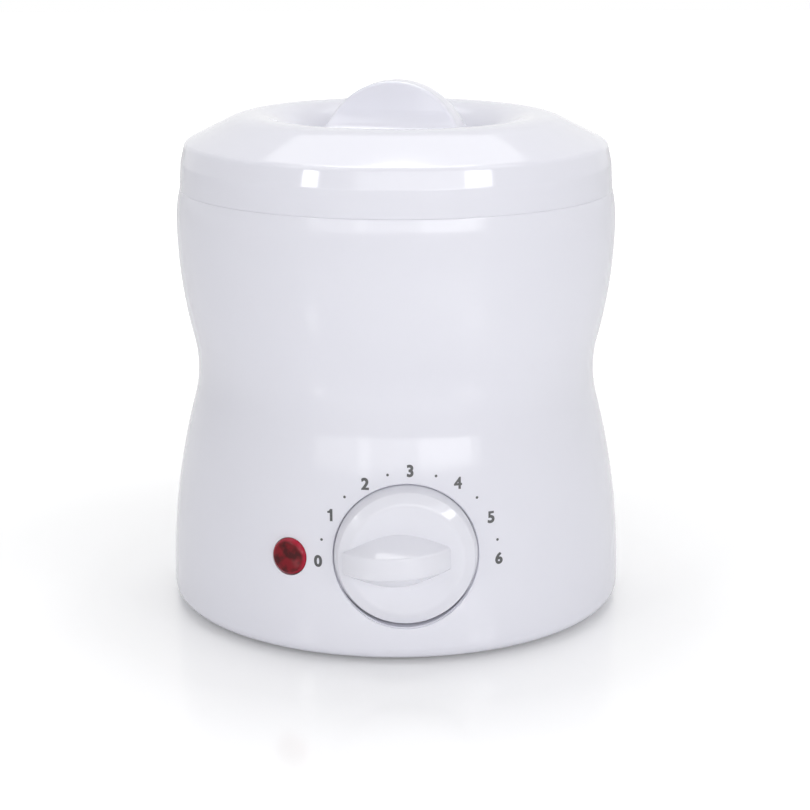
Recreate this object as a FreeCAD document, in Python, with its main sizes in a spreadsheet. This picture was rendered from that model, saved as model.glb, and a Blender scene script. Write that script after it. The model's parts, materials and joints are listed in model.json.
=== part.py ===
"""Table-top wax heater: waisted housing, lift-off lid, wax pot, dial knob and heating parts.

Frame: millimetres, +Z up, the front with the dial faces -Y. The origin is on the surface that the
feet stand on, on the axis of the housing.
"""
import FreeCAD, Part
import math
import os
import Sketcher
from FreeCAD import Placement, Rotation, Vector

doc = FreeCAD.newDocument("wax_heater")

# ---------------------------------------------------------------- driving dimensions
SIZES = (
    # housing shell: heights count from its bottom edge
    ("foot_stand", 1.5),
    ("housing_height", 132.7),
    ("lower_bulge_radius", 72.9),
    ("lower_bulge_height", 5.9),
    ("upper_bulge_inset", 3.3),
    ("upper_bulge_drop", 10.0),
    ("shoulder_sweep", 42.4),
    ("waist_inset", 5.9),
    ("waist_share", 0.597),
    ("waist_sweep", 40.7),
    ("wall", 2.6),
    ("base_edge_round", 4.2),
    ("seam_edge_round", 0.6),
    ("base_lip_height", 2.6),
    ("base_rim_width", 7.9),
    ("mouth_rim_width", 4.2),
    ("ledge_depth", 15.0),
    ("ledge_thickness", 2.6),
    ("ledge_width", 6.8),
    ("ledge_boss_radius", 3.2),
    ("ledge_boss_drop", 7.0),
    # dial recess and knob
    ("knob_height", 32.0),
    ("knob_radius", 21.3),
    ("knob_ring_gap", 0.55),
    ("knob_face_proud", 0.6),
    ("knob_face_radius", 17.3),
    ("knob_slope_width", 3.2),
    ("knob_slope_drop", 0.9),
    ("knob_side_drop", 3.4),
    ("knob_thickness", 9.2),
    ("knob_back_gap", 0.6),
    ("recess_wall", 2.2),
    ("recess_lip_round", 0.8),
    ("knob_fin_reach", 8.3),
    ("knob_fin_arc", 19.15),
    ("knob_fin_width", 6.5),
    ("knob_fin_draft", 30.0),
    ("knob_fin_shift", 2.9),
    ("knob_fin_tilt", 2.5),
    ("shaft_radius", 3.0),
    ("shaft_flat", 1.6),
    ("shaft_grip", 7.5),
    ("fit_play", 0.06),
    ("clip_thickness", 0.5),
    ("clip_width", 3.6),
    # thermostat behind the recess
    ("thermostat_width", 32.0),
    ("thermostat_height", 24.0),
    ("thermostat_depth", 18.0),
    ("thermostat_bush_radius", 4.8),
    ("thermostat_screw_spacing", 27.0),
    ("thermostat_screw_radius", 1.7),
    ("thermostat_screw_length", 7.0),
    ("thermostat_head_radius", 3.1),
    ("terminal_tab_width", 6.3),
    ("terminal_tab_length", 8.0),
    ("terminal_tab_thickness", 0.8),
    ("terminal_tab_spacing", 16.0),
    # indicator lamp
    ("lamp_height", 30.2),
    ("lamp_angle", 29.0),
    ("lens_radius", 5.6),
    ("lens_stand_out", 0.1),
    ("lens_thickness", 2.4),
    ("lens_round", 0.7),
    ("lamp_barrel_radius", 4.4),
    ("lamp_bore_radius", 3.1),
    ("lamp_barrel_length", 13.0),
    ("lamp_clip_radius", 7.0),
    ("lamp_clip_thickness", 0.6),
    ("lamp_tab_length", 6.0),
    # cord inlet at the back
    ("gland_height", 15.0),
    ("gland_bore_radius", 3.4),
    ("gland_thread_radius", 6.2),
    ("gland_thread_length", 10.0),
    ("gland_hex_radius", 8.6),
    ("gland_hex_thickness", 3.0),
    ("gland_seat_sink", 1.3),
    ("gland_nut_thickness", 3.2),
    ("gland_stub_radius", 4.8),
    ("gland_stub_length", 3.4),
    ("gland_cap_length", 5.6),
    ("gland_cap_crown", 4.7),
    ("gland_cap_radius", 7.2),
    # base cover, feet and screws
    ("cover_thickness", 2.4),
    ("cover_gap", 0.4),
    ("foot_radius", 6.0),
    ("foot_inset", 15.0),
    ("foot_recess", 1.0),
    ("foot_plug_radius", 2.4),
    ("foot_plug_rise", 2.2),
    ("foot_barb", 0.8),
    ("foot_edge", 0.4),
    ("vent_length", 22.0),
    ("vent_width", 2.4),
    ("vent_pitch", 6.0),
    ("vent_count", 5),
    ("vent_middle", -14.0),
    ("base_boss_inset", 7.5),
    ("base_boss_radius", 4.0),
    ("base_boss_height", 16.0),
    ("boss_rib_thickness", 2.0),
    ("base_screw_radius", 1.5),
    ("base_screw_length", 11.0),
    ("base_screw_head_radius", 3.0),
    ("base_screw_head_height", 1.2),
    ("base_screw_sink", 0.2),
    # heating well and what is fixed to it
    ("well_room", 12.1),
    ("well_wall", 1.2),
    ("well_floor_height", 57.4),
    ("well_corner", 4.0),
    ("well_lip_round", 2.0),
    ("flange_play", 1.0),
    ("gasket_thickness", 1.5),
    ("well_screw_inset", 3.8),
    ("well_screw_radius", 1.45),
    ("well_screw_length", 8.0),
    ("well_screw_head_radius", 2.6),
    ("well_screw_head_height", 1.6),
    ("stud_radius", 2.0),
    ("band_gap", 0.15),
    ("band_thickness", 2.4),
    ("band_height", 28.0),
    ("band_rise", 7.0),
    ("band_split", 7.0),
    ("band_ear_length", 5.6),
    ("band_ear_height", 14.0),
    ("band_ear_thickness", 1.6),
    ("band_bolt_radius", 1.5),
    ("band_bolt_head_radius", 2.7),
    ("band_bolt_head_height", 1.9),
    ("band_bolt_spare", 0.8),
    ("sleeve_gap", 0.3),
    ("sleeve_thickness", 7.0),
    ("sleeve_headroom", 3.7),
    ("shield_inset", 1.2),
    ("shield_thickness", 0.7),
    ("shield_drop", 7.4),
    ("shield_wire_hole", 2.6),
    ("stud_spare", 1.3),
    ("shield_nut_radius", 3.9),
    ("shield_nut_height", 3.2),
    ("bulb_radius", 2.6),
    ("bulb_length", 52.0),
    ("bulb_offset", 12.0),
    ("capillary_radius", 0.8),
    ("capillary_bend", 4.5),
    ("capillary_gap", 3.5),
    ("fuse_radius", 2.0),
    ("fuse_length", 26.0),
    ("fuse_offset", 16.0),
    ("strap_thickness", 0.6),
    ("strap_width", 8.0),
    ("strap_foot", 4.0),
    ("strap_gap", 0.1),
    # wiring
    ("block_end_margin", 0.8),
    ("block_width", 17.0),
    ("block_height", 13.0),
    ("block_offset", 22.0),
    ("block_ways", 6),
    ("block_pitch", 7.5),
    ("block_entry_height", 4.4),
    ("block_entry_depth", 3.0),
    ("block_screw_radius", 1.8),
    ("block_screw_depth", 5.0),
    ("block_screw_sink", 1.0),
    ("block_fixing_head", 2.4),
    ("block_bore_radius", 1.7),
    ("lead_radius", 1.1),
    ("lead_bend", 5.0),
    ("lead_run", 9.0),
    ("tag_radius", 5.0),
    ("tag_thickness", 0.8),
    ("tag_tail", 9.0),
    # wax pot and its bail
    ("pot_gap", 0.8),
    ("pot_wall", 1.0),
    ("pot_rise", 0.7),
    ("pot_corner", 3.4),
    ("pot_rim_radius", 1.5),
    ("lug_width", 10.0),
    ("lug_height", 5.2),
    ("lug_reach", 4.4),
    ("lug_lift", 0.5),
    ("bail_wire_radius", 1.2),
    ("bail_inset", 9.8),
    ("bail_corner", 2.4),
    ("bail_play", 0.08),
    # lid
    ("lid_rim_inset", 1.2),
    ("lid_band_height", 8.2),
    ("lid_band_taper", 0.5),
    ("lid_shoulder_height", 12.1),
    ("lid_shoulder_inset", 4.1),
    ("lid_shoulder_round", 3.0),
    ("lid_crest_height", 22.8),
    ("lid_crest_inset", 18.4),
    ("lid_crest_round", 17.0),
    ("lid_dish_inset", 21.2),
    ("lid_dish_height", 10.4),
    ("lid_dish_round", 6.5),
    ("lid_wall", 2.4),
    ("lid_plug_depth", 6.0),
    ("lid_plug_height", 13.7),
    ("lid_plug_wall", 2.0),
    ("lid_plug_gap", 0.5),
    ("lid_fin_inset", 1.6),
    ("lid_fin_width", 8.4),
    ("lid_fin_turn", 15.0),
    ("lid_fin_bevel", 1.1),
)

sheet = doc.addObject("Spreadsheet::Sheet", "dims")
for row, (alias, value) in enumerate(SIZES, start=1):
    sheet.set(f"A{row}", alias)
    sheet.set(f"B{row}", str(value))
    sheet.setAlias(f"B{row}", alias)
doc.recompute()


# ---------------------------------------------------------------- sizes that stay tied to the sheet
class Size:
    """A size known as a number and as the sheet expression that makes it."""

    def __init__(self, value, text):
        self.value = value
        self.text = text

    @staticmethod
    def of(other):
        return other if isinstance(other, Size) else Size(float(other), repr(other))

    def _join(self, other, sign, value):
        return Size(value, f"({self.text} {sign} {other.text})")

    def __add__(self, other):
        other = Size.of(other)
        return self._join(other, "+", self.value + other.value)

    def __sub__(self, other):
        other = Size.of(other)
        return self._join(other, "-", self.value - other.value)

    def __mul__(self, other):
        other = Size.of(other)
        return self._join(other, "*", self.value * other.value)

    def __truediv__(self, other):
        other = Size.of(other)
        return self._join(other, "/", self.value / other.value)

    def __neg__(self):
        return Size(-self.value, f"(0 - {self.text})")

    __radd__ = __add__
    __rmul__ = __mul__

    def __rsub__(self, other):
        return Size.of(other) - self


def cos_of(angle):
    return Size(math.cos(math.radians(angle.value)), f"cos({angle.text})")


def sin_of(angle):
    return Size(math.sin(math.radians(angle.value)), f"sin({angle.text})")


def tan_of(angle):
    return Size(math.tan(math.radians(angle.value)), f"tan({angle.text})")


def root_of(square):
    return Size(math.sqrt(square.value), f"sqrt({square.text})")


class Dims:
    """Reads the sheet: D.wall is the wall as a Size."""

    def __getattr__(self, alias):
        return Size(float(sheet.get(alias)), f"dims.{alias}")


D = Dims()
ZERO = Size(0.0, "0")
FULL_TURN = 360.0
RIM_POINTS = 9
QUARTER_TURN = 90.0
NEAR = 1e-2
UP = Vector(0, 0, 1)
ACROSS = Vector(1, 0, 0)
ALONG = Vector(0, 1, 0)


def bind(obj, path, size):
    obj.setExpression(path, Size.of(size).text)


def vec(x, y, z=0.0):
    return Vector(Size.of(x).value, Size.of(y).value, Size.of(z).value)


def put(obj, x=ZERO, y=ZERO, z=ZERO, yaw=None):
    """Place an object in the frame, turned about the upright axis by yaw degrees."""
    turn = Rotation(UP, yaw.value if yaw else 0.0)
    obj.Placement = Placement(vec(x, y, z), turn)
    for letter, size in (("x", x), ("y", y), ("z", z)):
        bind(obj, f"Placement.Base.{letter}", size)
    if yaw:
        bind(obj, "Placement.Rotation.Angle", yaw)
    return obj


# ---------------------------------------------------------------- bodies and sketches
def body(name):
    return doc.addObject("PartDesign::Body", name)


def sketch(owner, plane, level=None, turn=None):
    """A sketch on one of the body's own planes, moved out by level, turned about the upright axis."""
    drawn = owner.newObject("Sketcher::SketchObject", f"{owner.Name}_sketch")
    origin_plane = [item for item in owner.Origin.OriginFeatures if item.Role == plane][0]
    drawn.AttachmentSupport = [(origin_plane, "")]
    drawn.MapMode = "FlatFace"
    if turn is not None:
        drawn.AttachmentOffset = Placement(Vector(), Rotation(ALONG, turn.value))
        bind(drawn, "AttachmentOffset.Rotation.Angle", turn)
    if level is not None:
        bind(drawn, "AttachmentOffset.Base.z", level)
    return drawn


def hold_place(drawn, kind, geometry, point, size):
    """Hold one coordinate of a point of the sketch: DistanceX or DistanceY from its origin."""
    size = Size.of(size)
    index = drawn.addConstraint(Sketcher.Constraint(kind, -1, 1, geometry, point, size.value))
    drawn.setExpression(f"Constraints[{index}]", size.text)


def tie(drawn, geometry, point, x, y):
    """Hold a point of the sketch at x, y from its origin."""
    hold_place(drawn, "DistanceX", geometry, point, x)
    hold_place(drawn, "DistanceY", geometry, point, y)


def hold_radius(drawn, geometry, size):
    index = drawn.addConstraint(Sketcher.Constraint("Radius", geometry, size.value))
    drawn.setExpression(f"Constraints[{index}]", size.text)


def polygon(drawn, corners):
    """A closed outline through the corners, each one tied to the sheet."""
    count = len(corners)
    lines = []
    for index, (x, y) in enumerate(corners):
        x_next, y_next = corners[(index + 1) % count]
        lines.append(drawn.addGeometry(Part.LineSegment(vec(x, y), vec(x_next, y_next)), False))
    for index, line in enumerate(lines):
        following = lines[(index + 1) % count]
        drawn.addConstraint(Sketcher.Constraint("Coincident", line, 2, following, 1))
        tie(drawn, line, 1, *corners[index])
    return drawn


def circle(drawn, x, y, radius):
    ring = drawn.addGeometry(Part.Circle(vec(x, y), UP, Size.of(radius).value), False)
    tie(drawn, ring, 3, x, y)
    hold_radius(drawn, ring, Size.of(radius))
    return drawn


def rectangle(drawn, low_x, low_y, high_x, high_y):
    return polygon(drawn, [(low_x, low_y), (high_x, low_y), (high_x, high_y), (low_x, high_y)])


def feature(owner, kind, drawn, name):
    made = owner.newObject(f"PartDesign::{kind}", f"{owner.Name}_{name}")
    made.Profile = drawn
    return made


def pad(owner, drawn, length, name="pad", both_ways=False):
    made = feature(owner, "Pad", drawn, name)
    made.SideType = "Symmetric" if both_ways else "One side"
    bind(made, "Length", length)
    owner.Tip = made
    return made


def pocket(owner, drawn, length, name, reverse=False, both_ways=False):
    """A cut, checked to have taken something away."""
    doc.recompute()
    before = owner.Shape.Volume
    made = feature(owner, "Pocket", drawn, name)
    made.SideType = "Symmetric" if both_ways else "One side"
    made.Reversed = reverse
    bind(made, "Length", length)
    owner.Tip = made
    doc.recompute()
    if not owner.Shape.Volume < before:
        raise RuntimeError(f"{made.Name} cuts nothing")
    return made


def revolve(owner, drawn, name="turned", axis="V_Axis"):
    made = feature(owner, "Revolution", drawn, name)
    made.ReferenceAxis = (drawn, [axis])
    made.Angle = FULL_TURN
    owner.Tip = made
    return made


def turned(name, corners):
    """A piece turned about the upright axis, from corners given as radius, height."""
    piece = body(name)
    revolve(piece, polygon(sketch(piece, "XZ_Plane"), corners))
    return piece


def turned_forward(name, corners):
    """A piece turned about the axis along Y, from corners given as radius, y."""
    piece = body(name)
    drawn = polygon(sketch(piece, "YZ_Plane"), [(y, radius) for radius, y in corners])
    revolve(piece, drawn, axis="H_Axis")
    return piece


def dress(owner, kind, edges, size, name):
    """Round or chamfer edges of the body's last feature."""
    base = owner.Tip
    made = owner.newObject(f"PartDesign::{kind}", f"{owner.Name}_{name}")
    made.Base = (base, edges)
    bind(made, "Radius" if kind == "Fillet" else "Size", size)
    owner.Tip = made
    return made


def edges_where(shape, test):
    return [f"Edge{index}" for index, edge in enumerate(shape.Edges, start=1) if test(edge)]


def circles_at(shape, radius, height):
    """Names of the level circular edges with this radius at this height."""
    def fits(edge):
        box = edge.BoundBox
        level = max(abs(box.ZMin - height.value), abs(box.ZMax - height.value)) < NEAR
        return level and abs(max(box.XMax, -box.XMin, box.YMax, -box.YMin) - radius.value) < NEAR
    return edges_where(shape, fits)


# ---------------------------------------------------------------- booleans and primitives
def rod(name, radius, length, x=ZERO, y=ZERO, z=ZERO, along="Z"):
    """A cylinder from the given point, along +Z, +Y or +X."""
    made = doc.addObject("Part::Cylinder", name)
    bind(made, "Radius", radius)
    bind(made, "Height", length)
    tilt = {"Z": Rotation(), "Y": Rotation(ACROSS, -QUARTER_TURN), "X": Rotation(ALONG, QUARTER_TURN)}[along]
    made.Placement = Placement(vec(x, y, z), tilt)
    for letter, size in (("x", x), ("y", y), ("z", z)):
        bind(made, f"Placement.Base.{letter}", size)
    return made


def block(name, low, size):
    """A box from its low corner, with its three sizes."""
    made = doc.addObject("Part::Box", name)
    for path, length in zip(("Length", "Width", "Height"), size):
        bind(made, path, length)
    return put(made, *low)


def cut(name, base, tool):
    made = doc.addObject("Part::Cut", name)
    made.Base = base
    made.Tool = tool
    return made


def fuse(name, pieces):
    made = doc.addObject("Part::MultiFuse", name)
    made.Shapes = pieces
    return made


def common(name, pieces):
    made = doc.addObject("Part::MultiCommon", name)
    made.Shapes = pieces
    return made


def group(name, pieces):
    """Several separate solids that share one node."""
    made = doc.addObject("Part::Compound", name)
    made.Links = pieces
    return made


NODES = {}


def node(name, obj):
    obj.Label = name
    NODES[name] = obj
    return obj


# ---------------------------------------------------------------- places that pieces share
BASE = D.foot_stand
SEAM = BASE + D.housing_height
UPPER_Z = SEAM - D.upper_bulge_drop
LOWER_Z = BASE + D.lower_bulge_height
WAIST_Z = LOWER_Z + (UPPER_Z - LOWER_Z) * D.waist_share
UPPER_BULGE = D.lower_bulge_radius - D.upper_bulge_inset
WAIST = UPPER_BULGE - D.waist_inset
BASE_OPENING = D.lower_bulge_radius - D.base_rim_width
BOSS_CIRCLE = BASE_OPENING - D.base_boss_inset
FOOT_CIRCLE = BASE_OPENING - D.foot_inset
MOUTH = UPPER_BULGE - D.mouth_rim_width
LEDGE_OPENING = MOUTH - D.ledge_width
FLANGE_RADIUS = MOUTH - D.flange_play
WELL_SCREW_CIRCLE = MOUTH - D.well_screw_inset
BAIL_RADIUS = MOUTH - D.bail_inset
LEDGE = SEAM - D.ledge_depth
FLANGE = LEDGE + D.gasket_thickness
FLANGE_TOP = FLANGE + D.well_wall
WELL_FLOOR = BASE + D.well_floor_height
WELL_UNDER = WELL_FLOOR - D.well_wall
WELL_RADIUS = WAIST - D.wall - D.well_room
WELL_OUTER = WELL_RADIUS + D.well_wall
SHIELD_RADIUS = WELL_OUTER - D.shield_inset
KNOB_Z = BASE + D.knob_height
KNOB_FRONT = ZERO - D.lower_bulge_radius - D.knob_face_proud
KNOB_BACK = KNOB_FRONT + D.knob_thickness
RECESS_FLOOR = KNOB_BACK + D.knob_back_gap
RECESS_INSIDE = RECESS_FLOOR + D.recess_wall
RECESS_RADIUS = D.knob_radius + D.knob_ring_gap
LAMP_Z = BASE + D.lamp_height
LENS_REACH = D.lower_bulge_radius + D.lens_stand_out
GLAND_Z = BASE + D.gland_height
GLAND_SEAT = D.lower_bulge_radius - D.gland_seat_sink
COVER_TOP = BASE + D.cover_gap + D.cover_thickness
COVER_BOTTOM = BASE + D.cover_gap
POT_OUTER = WELL_RADIUS - D.pot_gap
POT_TOP = SEAM + D.pot_rise
LID_RIM = UPPER_BULGE - D.lid_rim_inset
LID_BAND = LID_RIM - D.lid_band_taper
LID_SHOULDER = LID_BAND - D.lid_shoulder_inset
LID_CREST = LID_SHOULDER - D.lid_crest_inset
LID_DISH = LID_CREST - D.lid_dish_inset
LID_FIN = LID_DISH - D.lid_fin_inset
FIT = D.fit_play
HOUSING_CUT = D.lower_bulge_radius + D.wall
FOUR_CORNERS = tuple(QUARTER_TURN * (index + 0.5) for index in range(4))
FOUR_SIDES = tuple(QUARTER_TURN * index for index in range(4))
THREE_WAYS = (30.0, 150.0, 270.0)


def around(radius, angle):
    """The point at this angle on a circle about the heater's axis."""
    return radius * math.cos(math.radians(angle)), radius * math.sin(math.radians(angle))


def spread(count, pitch):
    """Places this far apart, centred on zero."""
    number = int(count.value)
    return [pitch * (index - (number - 1) / 2) for index in range(number)]


WAYS = spread(D.block_ways, D.block_pitch)
BLOCK_SCREWS = (-D.block_pitch, D.block_pitch)


# ---------------------------------------------------------------- housing
def sweep_to_waist(reach, drop):
    """Radius of a bulge's arc that reaches this far out and touches the waist's arc, drop above or below."""
    aside = WAIST + D.waist_sweep - reach
    square = aside * aside + drop * drop - D.waist_sweep * D.waist_sweep
    return square / ((reach - WAIST) * 2)


def arc_between(centre, start, end):
    """The arc about centre that runs anticlockwise from start to end."""
    first = math.atan2(start.y - centre.y, start.x - centre.x)
    last = math.atan2(end.y - centre.y, end.x - centre.x)
    return Part.ArcOfCircle(Part.Circle(centre, UP, start.distanceToPoint(centre)), first, last)


def on_circle_at(centre, radius, height):
    """The point of a circle on its side away from the axis, at this height."""
    reach = math.sqrt(radius ** 2 - (height - centre.y) ** 2)
    return Vector(centre.x + reach, height, 0)


LOWER_SWEEP = sweep_to_waist(D.lower_bulge_radius, WAIST_Z - LOWER_Z)
UPPER_SWEEP = sweep_to_waist(UPPER_BULGE, UPPER_Z - WAIST_Z)


def waisted_outline(drawn, inset, bottom, top, crowned):
    """Half the housing's section moved in by inset: lower bulge, waist, upper bulge and its crown."""
    low_sweep = LOWER_SWEEP - inset
    high_sweep = UPPER_SWEEP - inset
    crown_sweep = D.shoulder_sweep - inset
    waist_sweep = D.waist_sweep + inset
    low_at = (D.lower_bulge_radius - LOWER_SWEEP, LOWER_Z)
    high_at = (UPPER_BULGE - UPPER_SWEEP, UPPER_Z)
    crown_at = (UPPER_BULGE - D.shoulder_sweep, UPPER_Z)
    low = vec(*low_at)
    high = vec(*high_at)
    crown = vec(*crown_at)
    waist = vec(WAIST + D.waist_sweep, WAIST_Z)
    start = on_circle_at(low, low_sweep.value, bottom.value)
    low_end = low + (waist - low).normalize() * low_sweep.value
    high_start = high + (waist - high).normalize() * high_sweep.value
    peak = crown + ACROSS * crown_sweep.value
    end = on_circle_at(*(crown, crown_sweep.value) if crowned else (high, high_sweep.value), top.value)
    shapes = [
        Part.LineSegment(vec(ZERO, top), vec(ZERO, bottom)),
        Part.LineSegment(vec(ZERO, bottom), start),
        Part.LineSegment(end, vec(ZERO, top)),
        arc_between(low, start, low_end),
        arc_between(waist, high_start, low_end),
        arc_between(high, high_start, peak if crowned else end),
    ]
    if crowned:
        shapes.append(arc_between(crown, peak, end))
    axis, floor, lid, low_arc, waist_arc, high_arc = [drawn.addGeometry(item, False) for item in shapes][:6]
    last_arc = high_arc + 1 if crowned else high_arc
    for pair in ((axis, 2, floor, 1), (floor, 2, low_arc, 1), (last_arc, 2, lid, 1), (lid, 2, axis, 1)):
        drawn.addConstraint(Sketcher.Constraint("Coincident", *pair))
    for pair in ((low_arc, 2, waist_arc, 2), (waist_arc, 1, high_arc, 1)):
        drawn.addConstraint(Sketcher.Constraint("Tangent", *pair))
    tie(drawn, axis, 1, ZERO, top)
    tie(drawn, axis, 2, ZERO, bottom)
    drawn.addConstraint(Sketcher.Constraint("Horizontal", floor))
    drawn.addConstraint(Sketcher.Constraint("Horizontal", lid))
    tie(drawn, low_arc, 3, *low_at)
    tie(drawn, high_arc, 3, *high_at)
    hold_radius(drawn, low_arc, low_sweep)
    hold_radius(drawn, waist_arc, waist_sweep)
    hold_radius(drawn, high_arc, high_sweep)
    if crowned:
        drawn.addConstraint(Sketcher.Constraint("Coincident", high_arc, 2, last_arc, 1))
        tie(drawn, last_arc, 3, *crown_at)
        hold_place(drawn, "DistanceY", last_arc, 1, high_at[1])
    return drawn


def widest_edge(shape, height):
    """The name of the longest edge that lies level at this height."""
    level = [(edge.Length, f"Edge{index}") for index, edge in enumerate(shape.Edges, start=1)
             if max(abs(edge.BoundBox.ZMin - height.value), abs(edge.BoundBox.ZMax - height.value)) < NEAR]
    return [max(level)[1]]


def housing_form():
    """The full outer form, rounded at the base edge and at the seam."""
    form = body("housing_form")
    revolve(form, waisted_outline(sketch(form, "XZ_Plane"), ZERO, BASE, SEAM, crowned=True))
    doc.recompute()
    dress(form, "Fillet", widest_edge(form.Shape, BASE), D.base_edge_round, "base_round")
    doc.recompute()
    dress(form, "Fillet", widest_edge(form.Shape, SEAM), D.seam_edge_round, "seam_round")
    return form


def base_boss(index, angle):
    """A screw boss that stands on the base cover, tied to the wall by a rib."""
    x, y = around(BOSS_CIRCLE, angle)
    post = rod(f"base_boss_{index}", D.base_boss_radius, D.base_boss_height, x, y, COVER_TOP)
    rib = body(f"boss_rib_{index}")
    flat = rectangle(sketch(rib, "XY_Plane", COVER_TOP), BOSS_CIRCLE, -D.boss_rib_thickness / 2,
                     D.lower_bulge_radius, D.boss_rib_thickness / 2)
    pad(rib, flat, D.base_boss_height)
    return [post, put(rib, yaw=Size.of(angle))]


def housing_hollow():
    """The room inside the shell, less the bosses, ribs and seats that stand in it."""
    room = body("housing_room")
    top = LEDGE - D.ledge_thickness
    bottom = BASE + D.base_lip_height
    revolve(room, waisted_outline(sketch(room, "XZ_Plane"), D.wall, bottom, top, crowned=False))
    cup = rod("recess_cup", RECESS_RADIUS + D.recess_wall, HOUSING_CUT + RECESS_INSIDE, y=-HOUSING_CUT,
              z=KNOB_Z, along="Y")
    lamp_pad = turned_forward("lamp_pad", tube_corners(ZERO, LAMP_PAD, -HOUSING_CUT, -LAMP_SEAT))
    gland_pad = rod("gland_pad", GLAND_PAD, HOUSING_CUT - GLAND_SEAT_INSIDE, y=GLAND_SEAT_INSIDE, z=GLAND_Z,
                    along="Y")
    kept = [cup, put(lamp_pad, z=LAMP_Z, yaw=-D.lamp_angle), gland_pad]
    for index, angle in enumerate(FOUR_CORNERS):
        kept += base_boss(index, angle)
    for index, angle in enumerate(THREE_WAYS):
        x, y = around(WELL_SCREW_CIRCLE, angle)
        kept.append(rod(f"ledge_boss_{index}", D.ledge_boss_radius, D.ledge_boss_drop, x, y,
                        top - D.ledge_boss_drop))
    return cut("housing_hollow", room, fuse("standing_features", kept))


def tube_corners(inner, outer, low, high):
    """Corners of a plain ring's section: radius and place along its axis."""
    return [(inner, low), (outer, low), (outer, high), (inner, high)]


def housing_openings():
    """What is cut through the shell: base, mouth, ledge, dial recess, lamp, inlet and screw holes."""
    tools = [
        rod("base_opening", BASE_OPENING, BASE + D.base_lip_height),
        rod("mouth_opening", MOUTH, D.ledge_depth, z=LEDGE),
        rod("ledge_opening", LEDGE_OPENING, D.ledge_thickness, z=LEDGE - D.ledge_thickness),
        rod("dial_recess", RECESS_RADIUS, HOUSING_CUT + RECESS_FLOOR, y=-HOUSING_CUT, z=KNOB_Z, along="Y"),
        rod("bush_hole", D.thermostat_bush_radius + FIT, D.recess_wall, y=RECESS_FLOOR, z=KNOB_Z, along="Y"),
        rod("gland_hole", D.gland_thread_radius + FIT, D.wall, y=GLAND_SEAT_INSIDE, z=GLAND_Z, along="Y"),
        rod("gland_spot_face", GLAND_PAD, HOUSING_CUT - GLAND_SEAT, y=GLAND_SEAT, z=GLAND_Z,
            along="Y"),
    ]
    lamp_hole = turned_forward("lamp_hole", [
        (ZERO, -HOUSING_CUT), (D.lens_radius + FIT, -HOUSING_CUT), (D.lens_radius + FIT, -LENS_BACK),
        (D.lamp_barrel_radius + FIT, -LENS_BACK), (D.lamp_barrel_radius + FIT, -LAMP_SEAT),
        (LAMP_PAD, -LAMP_SEAT), (LAMP_PAD, -LAMP_SEAT + D.wall), (ZERO, -LAMP_SEAT + D.wall)])
    tools.append(put(lamp_hole, z=LAMP_Z, yaw=-D.lamp_angle))
    for side, x in (("left", -D.thermostat_screw_spacing / 2), ("right", D.thermostat_screw_spacing / 2)):
        hole = turned_forward(f"recess_screw_hole_{side}", countersink(FIT, D.recess_wall))
        tools.append(put(hole, x=x, y=RECESS_FLOOR, z=KNOB_Z))
    for index, angle in enumerate(FOUR_CORNERS):
        x, y = around(BOSS_CIRCLE, angle)
        tools.append(rod(f"boss_hole_{index}", D.base_screw_radius + FIT, D.base_screw_length, x, y,
                         COVER_TOP))
    for index, angle in enumerate(THREE_WAYS):
        x, y = around(WELL_SCREW_CIRCLE, angle)
        tools.append(rod(f"ledge_hole_{index}", D.well_screw_radius + FIT, D.well_screw_length, x, y,
                         LEDGE - D.well_screw_length))
    return tools


def countersink(play, depth):
    """Section of a countersunk screw's head and shank from its face at 0 to depth, widened by play."""
    head = D.thermostat_head_radius + play
    shank = D.thermostat_screw_radius + play
    return [(ZERO, ZERO), (head, ZERO), (shank, D.thermostat_head_radius - D.thermostat_screw_radius),
            (shank, depth), (ZERO, depth)]


LENS_BACK = LENS_REACH - D.lens_thickness
LAMP_SEAT = LENS_BACK - D.wall
LAMP_PAD = D.lamp_clip_radius + D.cover_gap
GLAND_PAD = D.gland_hex_radius + D.cover_gap
GLAND_SEAT_INSIDE = GLAND_SEAT - D.wall
housing_solid = cut("housing_solid", cut("housing_shell", housing_form(), housing_hollow()),
                    fuse("housing_openings", housing_openings()))
doc.recompute()
housing = body("housing_body")
housing.BaseFeature = housing_solid
doc.recompute()


def on_recess_rim(edge):
    """Whether the edge runs round the dial's recess where it meets the shell's outer face."""
    box = edge.BoundBox
    reaches = [math.hypot(point.x, point.z - KNOB_Z.value) for point in edge.discretize(RIM_POINTS)]
    turns = box.XLength + box.ZLength > NEAR and box.YMax < RECESS_FLOOR.value - NEAR
    return turns and all(abs(reach - RECESS_RADIUS.value) < NEAR for reach in reaches)


lip = edges_where(housing.Shape, on_recess_rim)
dress(housing, "Fillet", lip, D.recess_lip_round, "recess_lip")
node("housing", housing)

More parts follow.
